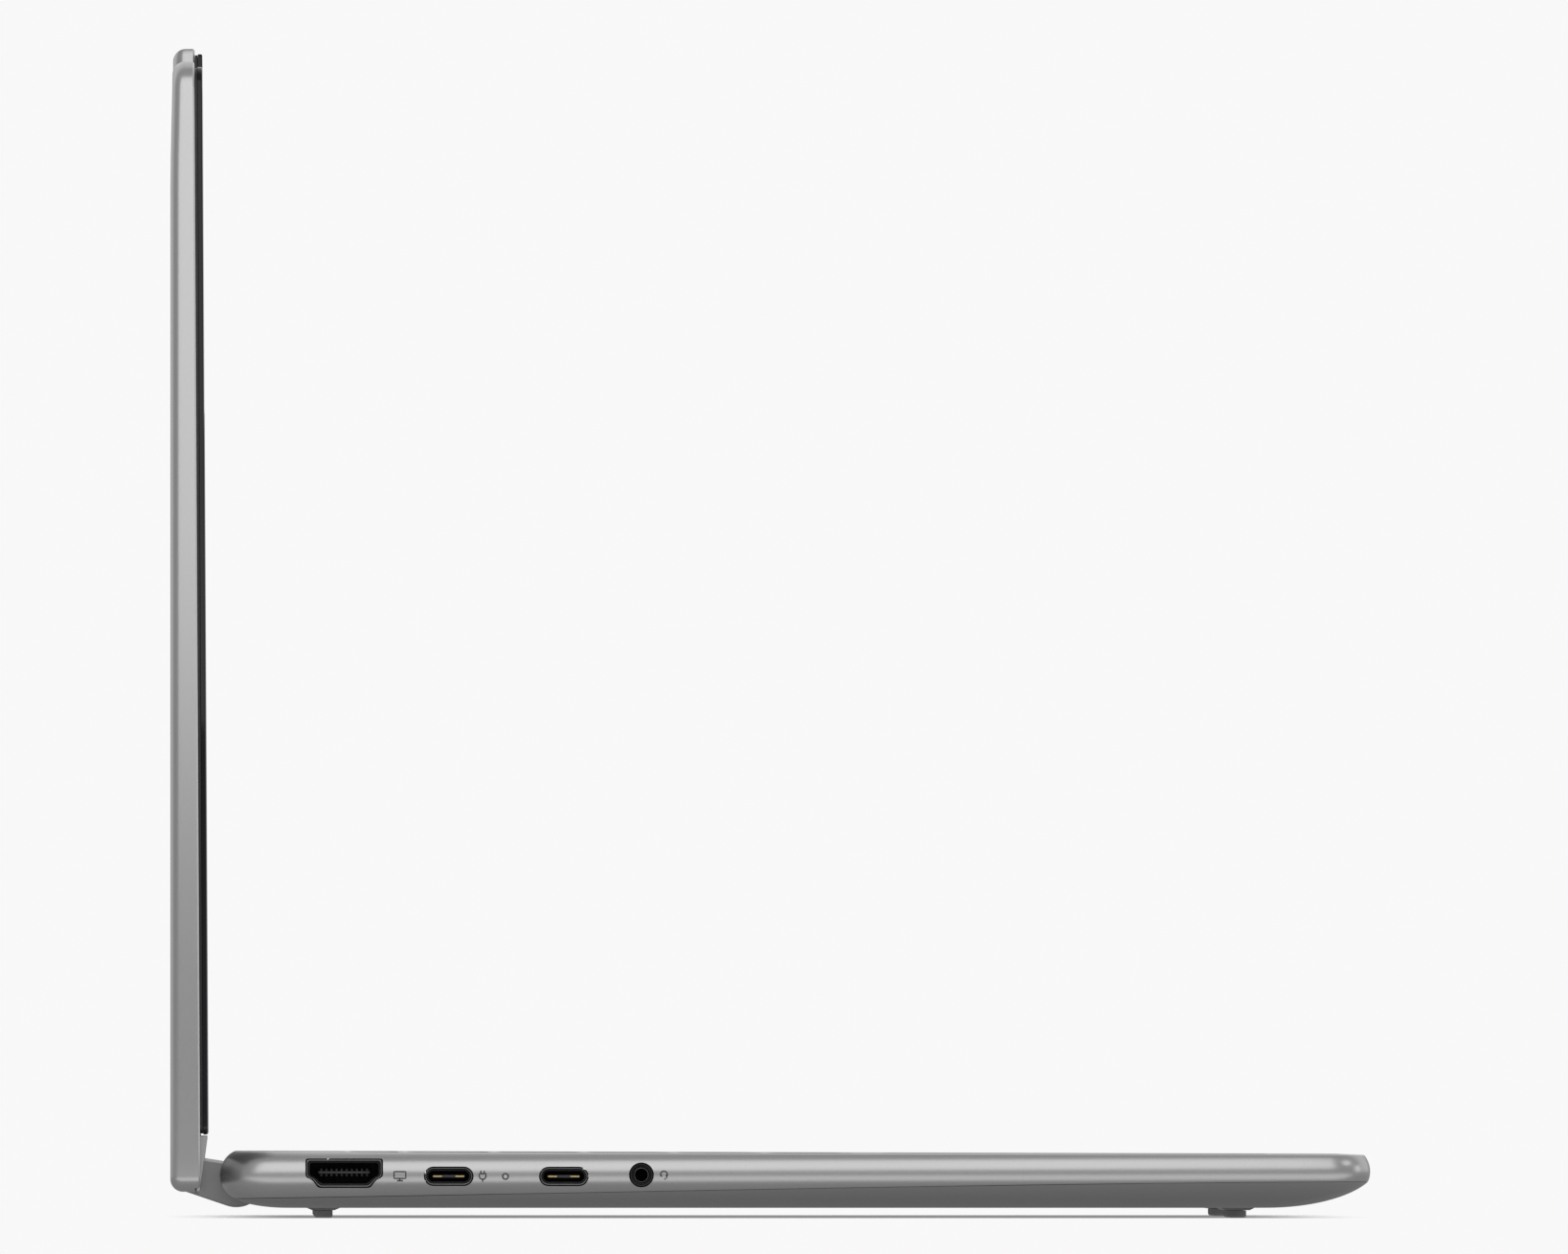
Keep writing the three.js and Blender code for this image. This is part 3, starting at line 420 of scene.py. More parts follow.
METAL_GREY = (0.43, 0.431, 0.434)
case_metal = blasted_metal("case_metal", METAL_GREY, 0.3)
# The bottom cover's metal is the case metal at 0.8 of its brightness: painted shade for the underside, which
# gets less light.
cover_metal = blasted_metal("cover_metal", shade(METAL_GREY, 0.8), 0.36)
hinge_metal = blasted_metal("hinge_metal", shade(METAL_GREY, 0.95), 0.36)
steel = plated_steel("bare_steel", (0.5, 0.5, 0.51), 0.28)
lip_steel = plated_steel("port_steel", (0.16, 0.16, 0.165), 0.3)
screw_steel = plated_steel("screw_steel", (0.07, 0.07, 0.075), 0.35)
gold = plated_steel("contact_gold", (0.85, 0.62, 0.28), 0.25)
copper = plated_steel("bare_copper", (0.78, 0.42, 0.28), 0.3)
glass = black_glass("display_glass")
clear_glass = clear("window_glass")
trim = moulded_plastic("display_trim", (0.01, 0.01, 0.011), 0.5)
key_plastic = moulded_plastic("key_plastic", (0.028, 0.029, 0.031), 0.55, 4000)
black_plastic = moulded_plastic("black_plastic", (0.012, 0.012, 0.013), 0.5)
# Near-black, far darker than the black plastic: painted shade deep inside the ports and on the video port's
# contacts.
port_shade_black = moulded_plastic("painted_port_shade", (0.0022, 0.0022, 0.0024), 0.7)
tongue_plastic = moulded_plastic("tongue_plastic", (0.03, 0.03, 0.031), 0.45)
legend_paint = moulded_plastic("legend_paint", (0.62, 0.64, 0.66), 0.5)
icon_paint = moulded_plastic("icon_paint", (0.02, 0.02, 0.021), 0.6)
pad_glass = satin_glass("touchpad_surface", (0.30, 0.302, 0.307))
foot_rubber = rubber("foot_rubber", (0.36, 0.36, 0.362))
board = circuit_board("circuit_board")
light_pipe = moulded_plastic("light_pipe", (0.75, 0.75, 0.72), 0.3)


# ---- Base case ----

def from_front(front, rear, y):
    return front + (rear - front) * (y - FRONT_Y) / (REAR_Y - FRONT_Y)


def edge_centre(y):
    return from_front(FRONT_CENTRE, REAR_CENTRE, y)


def deck(y):
    return from_front(FRONT_DECK, REAR_DECK, y)


def seam(y):
    """The height where the two shells of the base meet, a slow S from rear to front."""
    share = (REAR_Y - y) / (REAR_Y - FRONT_Y)
    return REAR_SEAM + SEAM_RISE * (0.955 * share + 0.85 * share ** 2 - 0.805 * share ** 3)


def edge_point(y, share, wall=0.0):
    """Inset and height of the round edge, from the seam at share 0 to the deck at share 1."""
    radius = EDGE_RADIUS - wall
    low = math.asin(max(-1, (seam(y) - edge_centre(y)) / radius))
    high = math.asin(min(1, (deck(y) - wall - edge_centre(y)) / radius))
    angle = low + share * (high - low)
    return EDGE_RADIUS - radius * math.cos(angle), edge_centre(y) + radius * math.sin(angle)


def belly_point(y, flat_inset, share, wall=0.0):
    """Inset and height of the belly, from the flat underside at share 0 to the seam at share 1."""
    angle = share * BELLY_ANGLE
    across = (flat_inset - edge_point(y, 0)[0]) * math.sin(angle) / math.sin(BELLY_ANGLE)
    rise = (seam(y) - SEAM_GAP - UNDERSIDE) * (1 - math.cos(angle)) / (1 - math.cos(BELLY_ANGLE))
    return flat_inset - across + wall * math.sin(angle), UNDERSIDE + rise + wall * math.cos(angle)


def case_ring(end_point, side_point, smallest=0.5):
    """One closed outline of the base. Each function gives the inset and height of this level at a y."""
    ring = []
    corners = ((1, REAR_Y, REAR_CORNER, -1), (-1, REAR_Y, REAR_CORNER, -1),
               (-1, FRONT_Y, FRONT_CORNER, 1), (1, FRONT_Y, FRONT_CORNER, 1))
    arcs = []
    for quarter, (side, end, radius, inward) in enumerate(corners):
        depth = end_point(end)[0]
        turn = max(radius - depth, smallest)
        centre_y = end + inward * (depth + turn)
        centre_x = side * (HALF_WIDTH - side_point(centre_y)[0] - turn)
        arcs.append([(centre_x + turn * math.cos((quarter + s / CORNER_STEPS) * math.pi / 2),
                      centre_y + turn * math.sin((quarter + s / CORNER_STEPS) * math.pi / 2))
                     for s in range(CORNER_STEPS + 1)])
    for quarter, arc in enumerate(arcs):
        for x, y in arc:
            ring.append((x, y, end_point(y)[1]))
        start, stop = arc[-1], arcs[(quarter + 1) % 4][0]
        along_side = quarter in (1, 3)
        steps = SIDE_STEPS if along_side else END_STEPS
        for step in range(1, steps):
            x = start[0] + (stop[0] - start[0]) * step / steps
            y = start[1] + (stop[1] - start[1]) * step / steps
            if along_side:
                x = math.copysign(HALF_WIDTH - side_point(y)[0], x)
            ring.append((x, y, side_point(y)[1] if along_side else end_point(y)[1]))
    return ring


def edge_ring(share, wall=0.0, inset=0.0, lift=0.0):
    def point(y):
        across, height = edge_point(y, share, wall)
        return across + inset, height + lift
    return case_ring(point, point)


def case_outside():
    rings = [edge_ring(0, inset=0.05)]
    rings += [edge_ring(0.02 + 0.95 * step / 22) for step in range(23)]
    return loft(rings + [edge_ring(1, inset=0.12)])


def case_inside():
    return loft([edge_ring(0, WALL, lift=-2)] + [edge_ring(step / 8, WALL) for step in range(9)])


def belly_ring(share, wall=0.0, inset=0.0, lift=0.0):
    def end_point(y):
        across, height = belly_point(y, FRONT_BELLY if y < 0 else REAR_BELLY, share, wall)
        return across + inset, height + lift

    def side_point(y):
        across, height = belly_point(y, from_front(FRONT_SIDE_BELLY, REAR_SIDE_BELLY, y), share, wall)
        return across + inset, height + lift
    return case_ring(end_point, side_point, smallest=6)


def belly_outside():
    return loft([belly_ring(step / 16) for step in range(17)])


def belly_inside():
    return loft([belly_ring(step / 8, WALL) for step in range(9)] + [belly_ring(1, WALL, lift=2)])


# ---- Keyboard layout: rows of depth and nodes, each node with its key widths and legends ----

PAIR = "pair"  # two half-height keys, one above the other
KEY_ROWS = (
    (11.5, (("function_row_keys", [1] * 15,
             ["esc"] + [f"f{n}" for n in range(1, 13)] + ["prt", "del"]),)),
    (18.0, (("number_row_keys", [1] * 13, list("`1234567890-=")), ("backspace_key", [2], ["back"]))),
    (18.0, (("tab_row_keys", [1.5] + [1] * 12 + [1.5], ["tab"] + list("QWERTYUIOP[]\\")),)),
    (18.0, (("caps_row_keys", [1.75] + [1] * 11, ["caps"] + list("ASDFGHJKL;'")),
            ("enter_key", [2.25], ["enter"]))),
    (18.0, (("left_shift_key", [2.25], ["shift"]), ("shift_row_keys", [1] * 10, list("ZXCVBNM,./")),
            ("right_shift_key", [2.75], ["shift"]))),
    (18.0, (("bottom_left_keys", [1.25, 1, 1, 1], ["ctrl", "fn", "opt", "alt"]), ("space_bar", [5.5], [""]),
            ("bottom_right_keys", [1, 1.25, 1, PAIR, 1], ["alt", "ctrl", "<", "v", "^", ">"]))),
)


def key_caps():
    """Each key node's caps, as (x0, x1, y0, y1, legend)."""
    nodes, rear = {}, KEYBOARD_REAR
    for depth, row in KEY_ROWS:
        left = -7.5 * KEY_UNIT
        low, high = rear - depth + KEY_GAP / 2, rear - KEY_GAP / 2
        for node, widths, legends in row:
            words = iter(legends)
            nodes[node] = []
            for width in widths:
                right = left + KEY_UNIT * (1 if width == PAIR else width)
                x = (left + KEY_GAP / 2, right - KEY_GAP / 2)
                split = (low + high) / 2
                halves = [(low, split - KEY_GAP / 4), (split + KEY_GAP / 4, high)]
                for y0, y1 in (halves if width == PAIR else [(low, high)]):
                    nodes[node].append((*x, y0, y1, next(words)))
                left = right
        rear -= depth
    return nodes


CAPS = key_caps()


def windows(caps):
    """The openings for a node's caps, as (x0, x1, y0, y1): two half-height keys share one."""
    columns = {}
    for x0, x1, y0, y1, _ in caps:
        low, high = columns.get((x0, x1), (y0, y1))
        columns[x0, x1] = min(low, y0), max(high, y1)
    return [(*x, *y) for x, y in columns.items()]


def raised(outline, depth):
    """The points of a plan outline at a depth below or above the deck."""
    return [(x, y, deck(y) + depth) for x, y in outline]


def deck_ring(box, grow, radius, depth, steps=4):
    """A rounded rectangle round (x0, x1, y0, y1), grown and at a depth from the deck."""
    x0, x1, y0, y1 = box
    width, length = x1 - x0 + 2 * grow, y1 - y0 + 2 * grow
    return raised(rounded(width, length, radius, ((x0 + x1) / 2, (y0 + y1) / 2), steps), depth)


def window_cutter(box, radius, play, chamfer):
    """A cutter through the deck with a small chamfer round the opening."""
    def ring(grow, depth):
        return deck_ring(box, grow, radius + grow, depth)
    return loft([ring(play, -4), ring(play, -chamfer), ring(play + chamfer + 0.1, 0.1)])


# ---- Connector outlines on the sides, as (y, z) ----

def middle(node):
    """The y and z of a node's centre."""
    low, high = limits(node)
    return (low.y + high.y) / 2, (low.z + high.z) / 2


def plan_box(node):
    low, high = limits(node)
    return low.x, high.x, low.y, high.y


def plan_middle(node):
    """The x and y of a node's centre."""
    x0, x1, y0, y1 = plan_box(node)
    return (x0 + x1) / 2, (y0 + y1) / 2


VIDEO_HALF, VIDEO_FOOT, VIDEO_HEIGHT = 7.45, 5.0, 5.4


def softened(corners, radius, steps=4):
    """An outline with its corners rounded by arcs of nearly the given radius."""
    outline = []
    for i, corner in enumerate(corners):
        here = Vector(corner)
        before, after = Vector(corners[i - 1]), Vector(corners[(i + 1) % len(corners)])
        a = here + (before - here).normalized() * radius
        b = here + (after - here).normalized() * radius
        for step in range(steps + 1):
            t = step / steps
            outline.append(tuple(a * (1 - t) ** 2 + here * 2 * t * (1 - t) + b * t ** 2))
    return outline


def video_outline(grow=0.0):
    y, z = middle("video_port")
    top, low = z + VIDEO_HEIGHT / 2 + grow, z - VIDEO_HEIGHT / 2 - grow
    half, foot = VIDEO_HALF + grow, VIDEO_FOOT + 0.7 * grow
    shoulder, knee = z - 0.65 - 0.3 * grow, (VIDEO_FOOT + 1.15 + 0.6 * grow, z - 1.25 - 0.6 * grow)
    corners = [(y + half, top), (y - half, top), (y - half, shoulder), (y - knee[0], knee[1]),
               (y - foot, low), (y + foot, low), (y + knee[0], knee[1]), (y + half, shoulder)]
    return softened(corners, 0.55)


def oval(node, width, height, grow=0.0):
    return rounded(width + 2 * grow, height + 2 * grow, height / 2 + grow - 0.001, middle(node), 8)


def usb_c(node, grow=0.0):
    return oval(node, 9.39, 3.43, grow)


def usb_a(node, grow=0.0):
    return rounded(13.9 + 2 * grow, 6.3 + 2 * grow, 0.6 + grow, middle(node), 4)


LEFT_SOCKETS = {
    "video_port": video_outline,
    "usb_c_port_rear": lambda grow=0.0: usb_c("usb_c_port_rear", grow),
    "usb_c_port_front": lambda grow=0.0: usb_c("usb_c_port_front", grow),
    "audio_jack": lambda grow=0.0: circle(2.25 + grow, middle("audio_jack"), 40),
    "charge_led": lambda grow=0.0: circle(0.5 + grow, middle("charge_led"), 16),
}
RIGHT_SOCKETS = {
    "usb_a_port_rear": lambda grow=0.0: usb_a("usb_a_port_rear", grow),
    "usb_a_port_front": lambda grow=0.0: usb_a("usb_a_port_front", grow),
    "card_slot": lambda grow=0.0: oval("card_slot", 12, 2.2, grow),
    "power_button": lambda grow=0.0: oval("power_button", 14, 2.6, grow),
}


# ---- Pieces of the base ----

ABOVE_DECK, BEHIND_CASE = 20, REAR_Y + 5  # where cutters are well clear of the case
EXHAUST_SLOTS, EXHAUST_WIDTH = 10, 38
SCREW_COUNT, SCREW_HOLE = 6, 2.1
PAD_DROP, PAD_HALF, PAD_INNER, PAD_OUTER = 0.5, 3.4, 58, 122


def top_case():
    outside, inside = case_outside(), case_inside()
    case = piece_from("case_top", *outside)
    walls = piece_from("pocket_walls", *merged(both_sides(
        (NOTCH_INNER - NOTCH_WALL, NOTCH_OUTER + NOTCH_WALL), (NOTCH_FRONT - WALL, REAR_Y + 3),
        (0, ABOVE_DECK))))
    carve(walls, [outside], "INTERSECT")
    carve(case, [inside])
    combine(case, walls, "UNION")
    carve(case, both_sides((NOTCH_INNER, NOTCH_OUTER), (NOTCH_FRONT, BEHIND_CASE), (0, ABOVE_DECK)))
    cutters = [window_cutter(window, 1.3, 0.5, 0.2) for caps in CAPS.values() for window in windows(caps)]
    cutters.append(window_cutter(plan_box("touchpad"), 1.5, 0.35, 0.3))
    cutters += [prism_x(outline(0.2), -HALF_WIDTH - 2, -HALF_WIDTH + 6) for outline in LEFT_SOCKETS.values()]
    cutters += [prism_x(outline(0.15), HALF_WIDTH - 6, HALF_WIDTH + 2) for outline in RIGHT_SOCKETS.values()]
    fan = plan_middle("fan_housing")[0]
    cutters += [exhaust_slot(fan - EXHAUST_WIDTH / 2 + EXHAUST_WIDTH * i / (EXHAUST_SLOTS - 1))
                for i in range(EXHAUST_SLOTS)]
    carve(case, cutters)
    keep_curvature(case, *outside)
    place(case, "base", case_metal, "case_metal", "top_case")


def exhaust_slot(x):
    """One exhaust slot in the rear wall."""
    outline = rounded(2, 4, 0.9, (x, 8), 4)
    return loft([[(a, y, b) for a, b in outline] for y in (REAR_Y + 2, REAR_Y - 4)])


def plan_slots(xs, y, width, length):
    return [prism_z(rounded(width, length, width / 2 - 0.01, (x, y), 4), 0, 6) for x in xs]


def bottom_cover():
    outside = belly_outside()
    cover = piece_from("case_bottom", *outside)
    carve(cover, [belly_inside()])
    low, root = UNDERSIDE - PAD_DROP, UNDERSIDE + 0.4

    def pad(foot, flat, x0, x1):
        y = middle(foot)[0]
        return prism_x([(y + PAD_HALF, root), (y - PAD_HALF, root), (y - PAD_HALF, UNDERSIDE),
                        (y - flat, low), (y + flat, low), (y + PAD_HALF, UNDERSIDE)], x0, x1)
    carve(cover, [pad("rear_foot", 2.2, -PAD_OUTER, PAD_OUTER),
                  pad("front_foot_left", 2.4, -PAD_OUTER, -PAD_INNER),
                  pad("front_foot_right", 2.4, PAD_INNER, PAD_OUTER)], "UNION")
    notches = both_sides((NOTCH_INNER - 0.2, NOTCH_OUTER + 0.2), (NOTCH_FRONT - 0.2, BEHIND_CASE),
                         (-5, ABOVE_DECK))
    fan_y = middle("fan_housing")[0]
    slots = plan_slots([side * (18 + 4 * i) for side in (-1, 1) for i in range(17)], fan_y, 1.7, 30)
    for side in (-1, 1):
        for row in range(3):
            slots += plan_slots([side * (126 + 3 * i) for i in range(5)], -50 - 12 * row, 1.2, 9)
    holes = []
    seat = UNDERSIDE + 0.78
    for index in range(1, SCREW_COUNT + 1):
        centre = plan_middle(f"bottom_screw_{index}")
        holes.append(stack(lambda inset: circle(SCREW_HOLE - inset, centre, 24), (
            (0, -0.2), (UNDERSIDE, -0.2), (UNDERSIDE + 0.2, 0), (seat, 0), (seat, 0.8), (6, 0.8))))
    carve(cover, notches + slots + holes)
    keep_curvature(cover, *outside)
    # The cover's darker metal is painted shade for the underside.
    place(cover, "base", cover_metal, "cover_metal", "bottom_cover")


def feet():
    for node in ("rear_foot", "front_foot_left", "front_foot_right"):
        low, high = limits(node)
        centre, size = (low + high) / 2, high - low
        foot = piece_from(node + "_rubber", *stack(
            lambda inset: rounded(size.x - 2 * inset, size.y - 2 * inset, size.y / 2 - inset - 0.01,
                                  (centre.x, centre.y), 8),
            [(0, 0.5), (0.08, 0.2), (0.3, 0.02), (0.5, 0), (high.z, 0)]))
        settle(foot, 50, "base", foot_rubber, "foot_rubber", node)


def screws():
    steps = 36
    for index in range(1, SCREW_COUNT + 1):
        node = f"bottom_screw_{index}"
        low, high = limits(node)
        x, y = plan_middle(node)

        def star(radius, wave):
            outline = []
            for i in range(steps):
                a = 2 * math.pi * i / steps
                reach = radius + wave * math.cos(6 * a)
                outline.append((x + reach * math.cos(a), y + reach * math.sin(a)))
            return outline
        levels = ((0.35, 0.66, 0.13), (0, 0.72, 0.13), (0, 1.7, 0), (0.12, 1.88, 0), (0.5, 1.88, 0),
                  (0.5, 1.1, 0), (high.z - low.z, 1.1, 0))
        screw = piece_from(f"torx_screw_{index}", *loft([
            [(a, b, low.z + rise) for a, b in star(radius, wave)] for rise, radius, wave in levels]))
        settle(screw, 30, "base", screw_steel, "screw_steel", node)


def key_cap(box):
    """A slightly dished key with soft edges."""
    def ring(inset, depth):
        return deck_ring(box, -inset, max(0.3, 1.3 - inset * 0.6), depth)
    return loft([ring(0, -3.2), ring(0, -0.5), ring(0.06, -0.3), ring(0.22, -0.15), ring(0.5, KEY_TOP),
                 ring(0.9, KEY_TOP - 0.01), ring(1.7, KEY_TOP - 0.04), ring(3.0, KEY_TOP - 0.06)])


def locating_bar(cap):
    x, y = (cap[0] + cap[1]) / 2, cap[2] + 3.2
    return stack(lambda inset: rounded(3.2 - inset, 0.7 - inset, 0.3 - inset / 4, (x, y), 3),
                 [(deck(y) + KEY_TOP - 0.2, 0), (deck(y) + KEY_TOP, 0.05), (deck(y) + KEY_TOP + 0.08, 0.3)])


def legend_mesh(word, x, y, size, depth):
    """Points and faces of a flat printed word centred on a key."""
    font = bpy.data.curves.new("legend", "FONT")
    font.body, font.size, font.align_x, font.align_y = word, size, "CENTER", "CENTER"
    font.extrude, font.resolution_u = 0.012, 3
    text = bpy.data.objects.new("legend", font)
    bpy.context.scene.collection.objects.link(text)
    mesh = bpy.data.meshes.new_from_object(text.evaluated_get(bpy.context.evaluated_depsgraph_get()))
    points = [(v.co.x + x, v.co.y + y, deck(y) + depth + v.co.z) for v in mesh.vertices]
    faces = [tuple(p.vertices) for p in mesh.polygons]
    bpy.data.objects.remove(text)
    bpy.data.curves.remove(font)
    bpy.data.meshes.remove(mesh)
    return points, faces


WEB_HALF, WEB_INSET, WEB_BOTTOM, WEB_TOP = 3.4, 1, 3.4, 3.1  # the strip under the caps of a node
LETTER_SIZE, WORD_SIZE = 4.4, 2.7


def keyboard():
    for node, caps in CAPS.items():
        left, right = plan_box(node)[:2]
        y = plan_middle(node)[1]
        web = block((left + WEB_INSET, y - WEB_HALF, deck(y) - WEB_BOTTOM),
                    (right - WEB_INSET, y + WEB_HALF, deck(y) - WEB_TOP))
        solids = [web] + [key_cap(cap[:4]) for cap in caps]
        solids += [locating_bar(cap) for cap in caps if cap[4] in ("F", "J")]
        stem = node.replace("_keys", "").replace("_key", "")
        keys = piece_from(stem + "_caps", *merged(solids))
        settle(keys, 40, node, key_plastic, "key_plastic", node)
        words = []
        for x0, x1, y0, y1, word in caps:
            if word:
                size = min(LETTER_SIZE if len(word) == 1 else WORD_SIZE, (y1 - y0) * 0.42)
                words.append(legend_mesh(word, (x0 + x1) / 2, (y0 + y1) / 2, size, KEY_TOP - 0.045))
        if words:
            legends = piece_from(stem + "_legends", *merged(words))
            place(legends, node, legend_paint, "key_plastic")


def touchpad():
    pad = piece_from("touchpad_plate", *loft([
        deck_ring(plan_box("touchpad"), -inset, 1.3 - inset / 2, depth, 6)
        for inset, depth in ((0, -1.3), (0, -0.3), (0.05, -0.18), (0.2, -0.1))]))
    settle(pad, 50, "touchpad", pad_glass, "touchpad_surface", "touchpad")


def sleeve(outline, wall, side, face, depth, start=0.0):
    """The rings of a tube in the side wall, from its outside round its mouth to its inside."""
    profile = [(face - depth, 0), (face - 0.1, 0), (face, -0.1)]
    profile += [(face - (wall - 0.1) * (1 - math.cos(a)), -0.1 - (wall - 0.1) * math.sin(a))
                for a in (math.pi / 2 * i / 5 for i in range(1, 6))]
    profile.append((face - depth + 0.4, -wall))
    rings = [[(side * x, y, z) for y, z in outline(grow + start)] for x, grow in profile]
    return [list(reversed(ring)) for ring in rings] if side < 0 else rings


def socket(stem, node, outline, side, depth, lip_material):
    """A port: a metal lip round a near-black sleeve that is closed at its back. The sleeve's near-black is
    painted shade for the depth of the port.
    """
    lip = piece_from(stem + "_lip", *tube(sleeve(outline, LIP_WALL, side, PORT_FACE, 1.4)))
    settle(lip, 50, "base", lip_material, "steel" if lip_material is lip_steel else "black_plastic", node)
    shade_sleeve = piece_from(stem + "_shade_sleeve", *loft(
        sleeve(outline, 0.35, side, PORT_FACE - 0.5, depth, -LIP_WALL - 0.02)))
    settle(shade_sleeve, 50, "base", port_shade_black, "black_plastic")


def tongue(name, node, width, height, lift, side, outer, inner, material, slot):
    y, z = middle(node)
    plate = piece_from(name, *stack(
        lambda inset: rounded(width - 2 * inset, height - 2 * inset, min(0.2, height / 3), (y, z + lift), 3),
        sorted([(side * inner, 0), (side * (outer - 0.1), 0), (side * outer, 0.1)]), "X"))
    settle(plate, 50, "base", material, slot)


def contacts(name, node, places, width, height, lift, side, outer, inner, material):
    """A row of small contact springs on a tongue."""
    y, z = middle(node)
    strips = [prism_x(rounded(width, height, min(width, height) / 2.5, (y + at, z + lift), 2),
                      *sorted((side * inner, side * outer))) for at in places]
    row = piece_from(name, *merged(strips))
    settle(row, 50, "base", material, "steel")


PORT_FACE, LIP_WALL = 155.35, 0.3


def sockets():
    socket("video", "video_port", video_outline, -1, 9, lip_steel)
    tongue("video_tongue", "video_port", 10.2, 0.5, 0.15, -1, 153.8, 147.2, tongue_plastic, "black_plastic")
    # The video contacts are near-black: painted shade inside the port.
    contacts("video_contacts", "video_port", [-4.5 + i for i in range(10)], 0.4, 1.5, 0.15, -1, 153.6, 147.2,
             port_shade_black)
    for end in ("rear", "front"):
        node = f"usb_c_port_{end}"
        socket(f"oval_{end}", node, LEFT_SOCKETS[node], -1, 8.5, lip_steel)
        tongue(f"oval_tongue_{end}", node, 6.3, 0.6, 0, -1, 154.4, 147, tongue_plastic, "black_plastic")
        contacts(f"oval_contacts_{end}", node, [-2.2, 2.2], 1.8, 0.24, 0, -1, 154.42, 150, gold)
    socket("audio", "audio_jack", LEFT_SOCKETS["audio_jack"], -1, 10, black_plastic)
    centre = middle("audio_jack")
    spring = piece_from("audio_spring", *tube([
        [(x, y, z) for y, z in circle(radius, centre, 40)]
        for x, radius in ((-150, 1.48), (-154.6, 1.48), (-154.7, 1.4), (-154.6, 1.3), (-150, 1.3))]))
    settle(spring, 50, "base", steel, "steel")
    for end in ("rear", "front"):
        node = f"usb_a_port_{end}"
        socket(f"square_{end}", node, RIGHT_SOCKETS[node], 1, 9, lip_steel)
        tongue(f"square_tongue_{end}", node, 11.1, 1.84, 1.2, 1, 154.6, 147, tongue_plastic, "black_plastic")
        contacts(f"square_contacts_{end}", node, [-3.5, -1, 1, 3.5], 1.0, 0.25, 0.2, 1, 154.2, 148, gold)
    socket("card", "card_slot", RIGHT_SOCKETS["card_slot"], 1, 9, lip_steel)


def small_side_parts():
    light = piece_from("charge_light", *stack(
        lambda inset: circle(0.5 - inset, middle("charge_led"), 20),
        [(-156.15, 0.15), (-156.05, 0), (-154, 0)], "X"))
    settle(light, 40, "base", light_pipe, "light_pipe", "charge_led")
    button = piece_from("power_key", *stack(
        lambda inset: rounded(14 - 2 * inset, 2.6 - 2 * inset, 1.3 - inset - 0.001,
                              middle("power_button"), 8),
        [(152.5, 0), (156.05, 0), (156.25, 0.08), (156.3, 0.25)], "X"))
    settle(button, 50, "power_button", case_metal, "case_metal", "power_button")


# ---- Printed signs on the left side ----

LONGEST_STROKE = 0.35


def stroke(line, width, closed=False):
    """A band of constant width along a line of (y, z) points."""
    corners = [Vector(p) for p in line]
    points = []
    for i, corner in enumerate(corners):
        points.append(corner)
        if closed or i + 1 < len(corners):
            gap = corners[(i + 1) % len(corners)] - corner
            pieces = max(1, math.ceil(gap.length / LONGEST_STROKE))
            points += [corner + gap * step / pieces for step in range(1, pieces)]
    count = len(points)
    left, right = [], []
    for i, here in enumerate(points):
        before = points[i - 1] if i or closed else here
        after = points[(i + 1) % count] if i + 1 < count or closed else here
        along = (after - before).normalized()
        across = Vector((-along.y, along.x)) * width / 2
        left.append(here + across)
        right.append(here - across)
    quads = []
    for i in range(count if closed else count - 1):
        j = (i + 1) % count
        quads.append([left[i], right[i], right[j], left[j]])
    return quads


def arc(radius, start, stop, centre=(0, 0), steps=12):
    return [(centre[0] + radius * math.cos(math.radians(start + (stop - start) * i / steps)),
             centre[1] + radius * math.sin(math.radians(start + (stop - start) * i / steps)))
            for i in range(steps + 1)]


def sign(name, centre, bands):
    """Prints bands of (across, up) points on the left side. Across is to the right as one looks at it."""
    points, faces = [], []
    for quads in bands:
        for quad in quads:
            start = len(points)
            for lift in (-0.02, 0.02):
                for across, up in quad:
                    y, z = centre[0] - across, centre[1] + up
                    reach = math.sqrt(max(0, EDGE_RADIUS ** 2 - (z - edge_centre(y)) ** 2))
                    points.append((-(HALF_WIDTH - EDGE_RADIUS + reach + lift), y, z))
            a, b = start, start + 4
            faces += [(a, a + 1, a + 2, a + 3), (b + 3, b + 2, b + 1, b)]
            faces += [(a + i, b + i, b + (i + 1) % 4, a + (i + 1) % 4) for i in range(4)]
    mark = piece_from(name, points, faces)
    place(mark, "base", icon_paint, "black_plastic")


def signs():
    line = 0.26
    sign("plug_sign", (56.8, 8.3), [
        stroke([(-0.65, 0.45), (-0.65, -0.2), (-0.35, -0.62), (0.35, -0.62), (0.65, -0.2), (0.65, 0.45)],
               line, True),
        stroke([(-0.33, 0.5), (-0.33, 1.05)], line), stroke([(0.33, 0.5), (0.33, 1.05)], line),
        stroke([(0, -0.65), (0, -1.15)], line)])
    sign("light_ring", middle("charge_led"), [stroke(circle(0.56, steps=24), 0.18, True)])
    sign("headset_sign", (21.06, 8.58), [
        stroke(arc(0.68, -20, 200), line),
        stroke([(-0.62, -0.1), (-0.42, -0.42)], 0.34), stroke([(0.62, -0.1), (0.42, -0.42)], 0.34),
        stroke(arc(0.68, -10, -70, (0, -0.2)), 0.16), stroke([(0.26, -0.86), (0.1, -0.92)], 0.3)])
    sign("display_sign", (73.1, 8.4), [
        stroke([(-1.15, 0.75), (-1.15, -0.6), (1.15, -0.6), (1.15, 0.75)], line, True),
        stroke([(0, -0.65), (0, -0.98)], line), stroke([(-0.6, -1.05), (0.6, -1.05)], line)])


# ---- Hinges ----

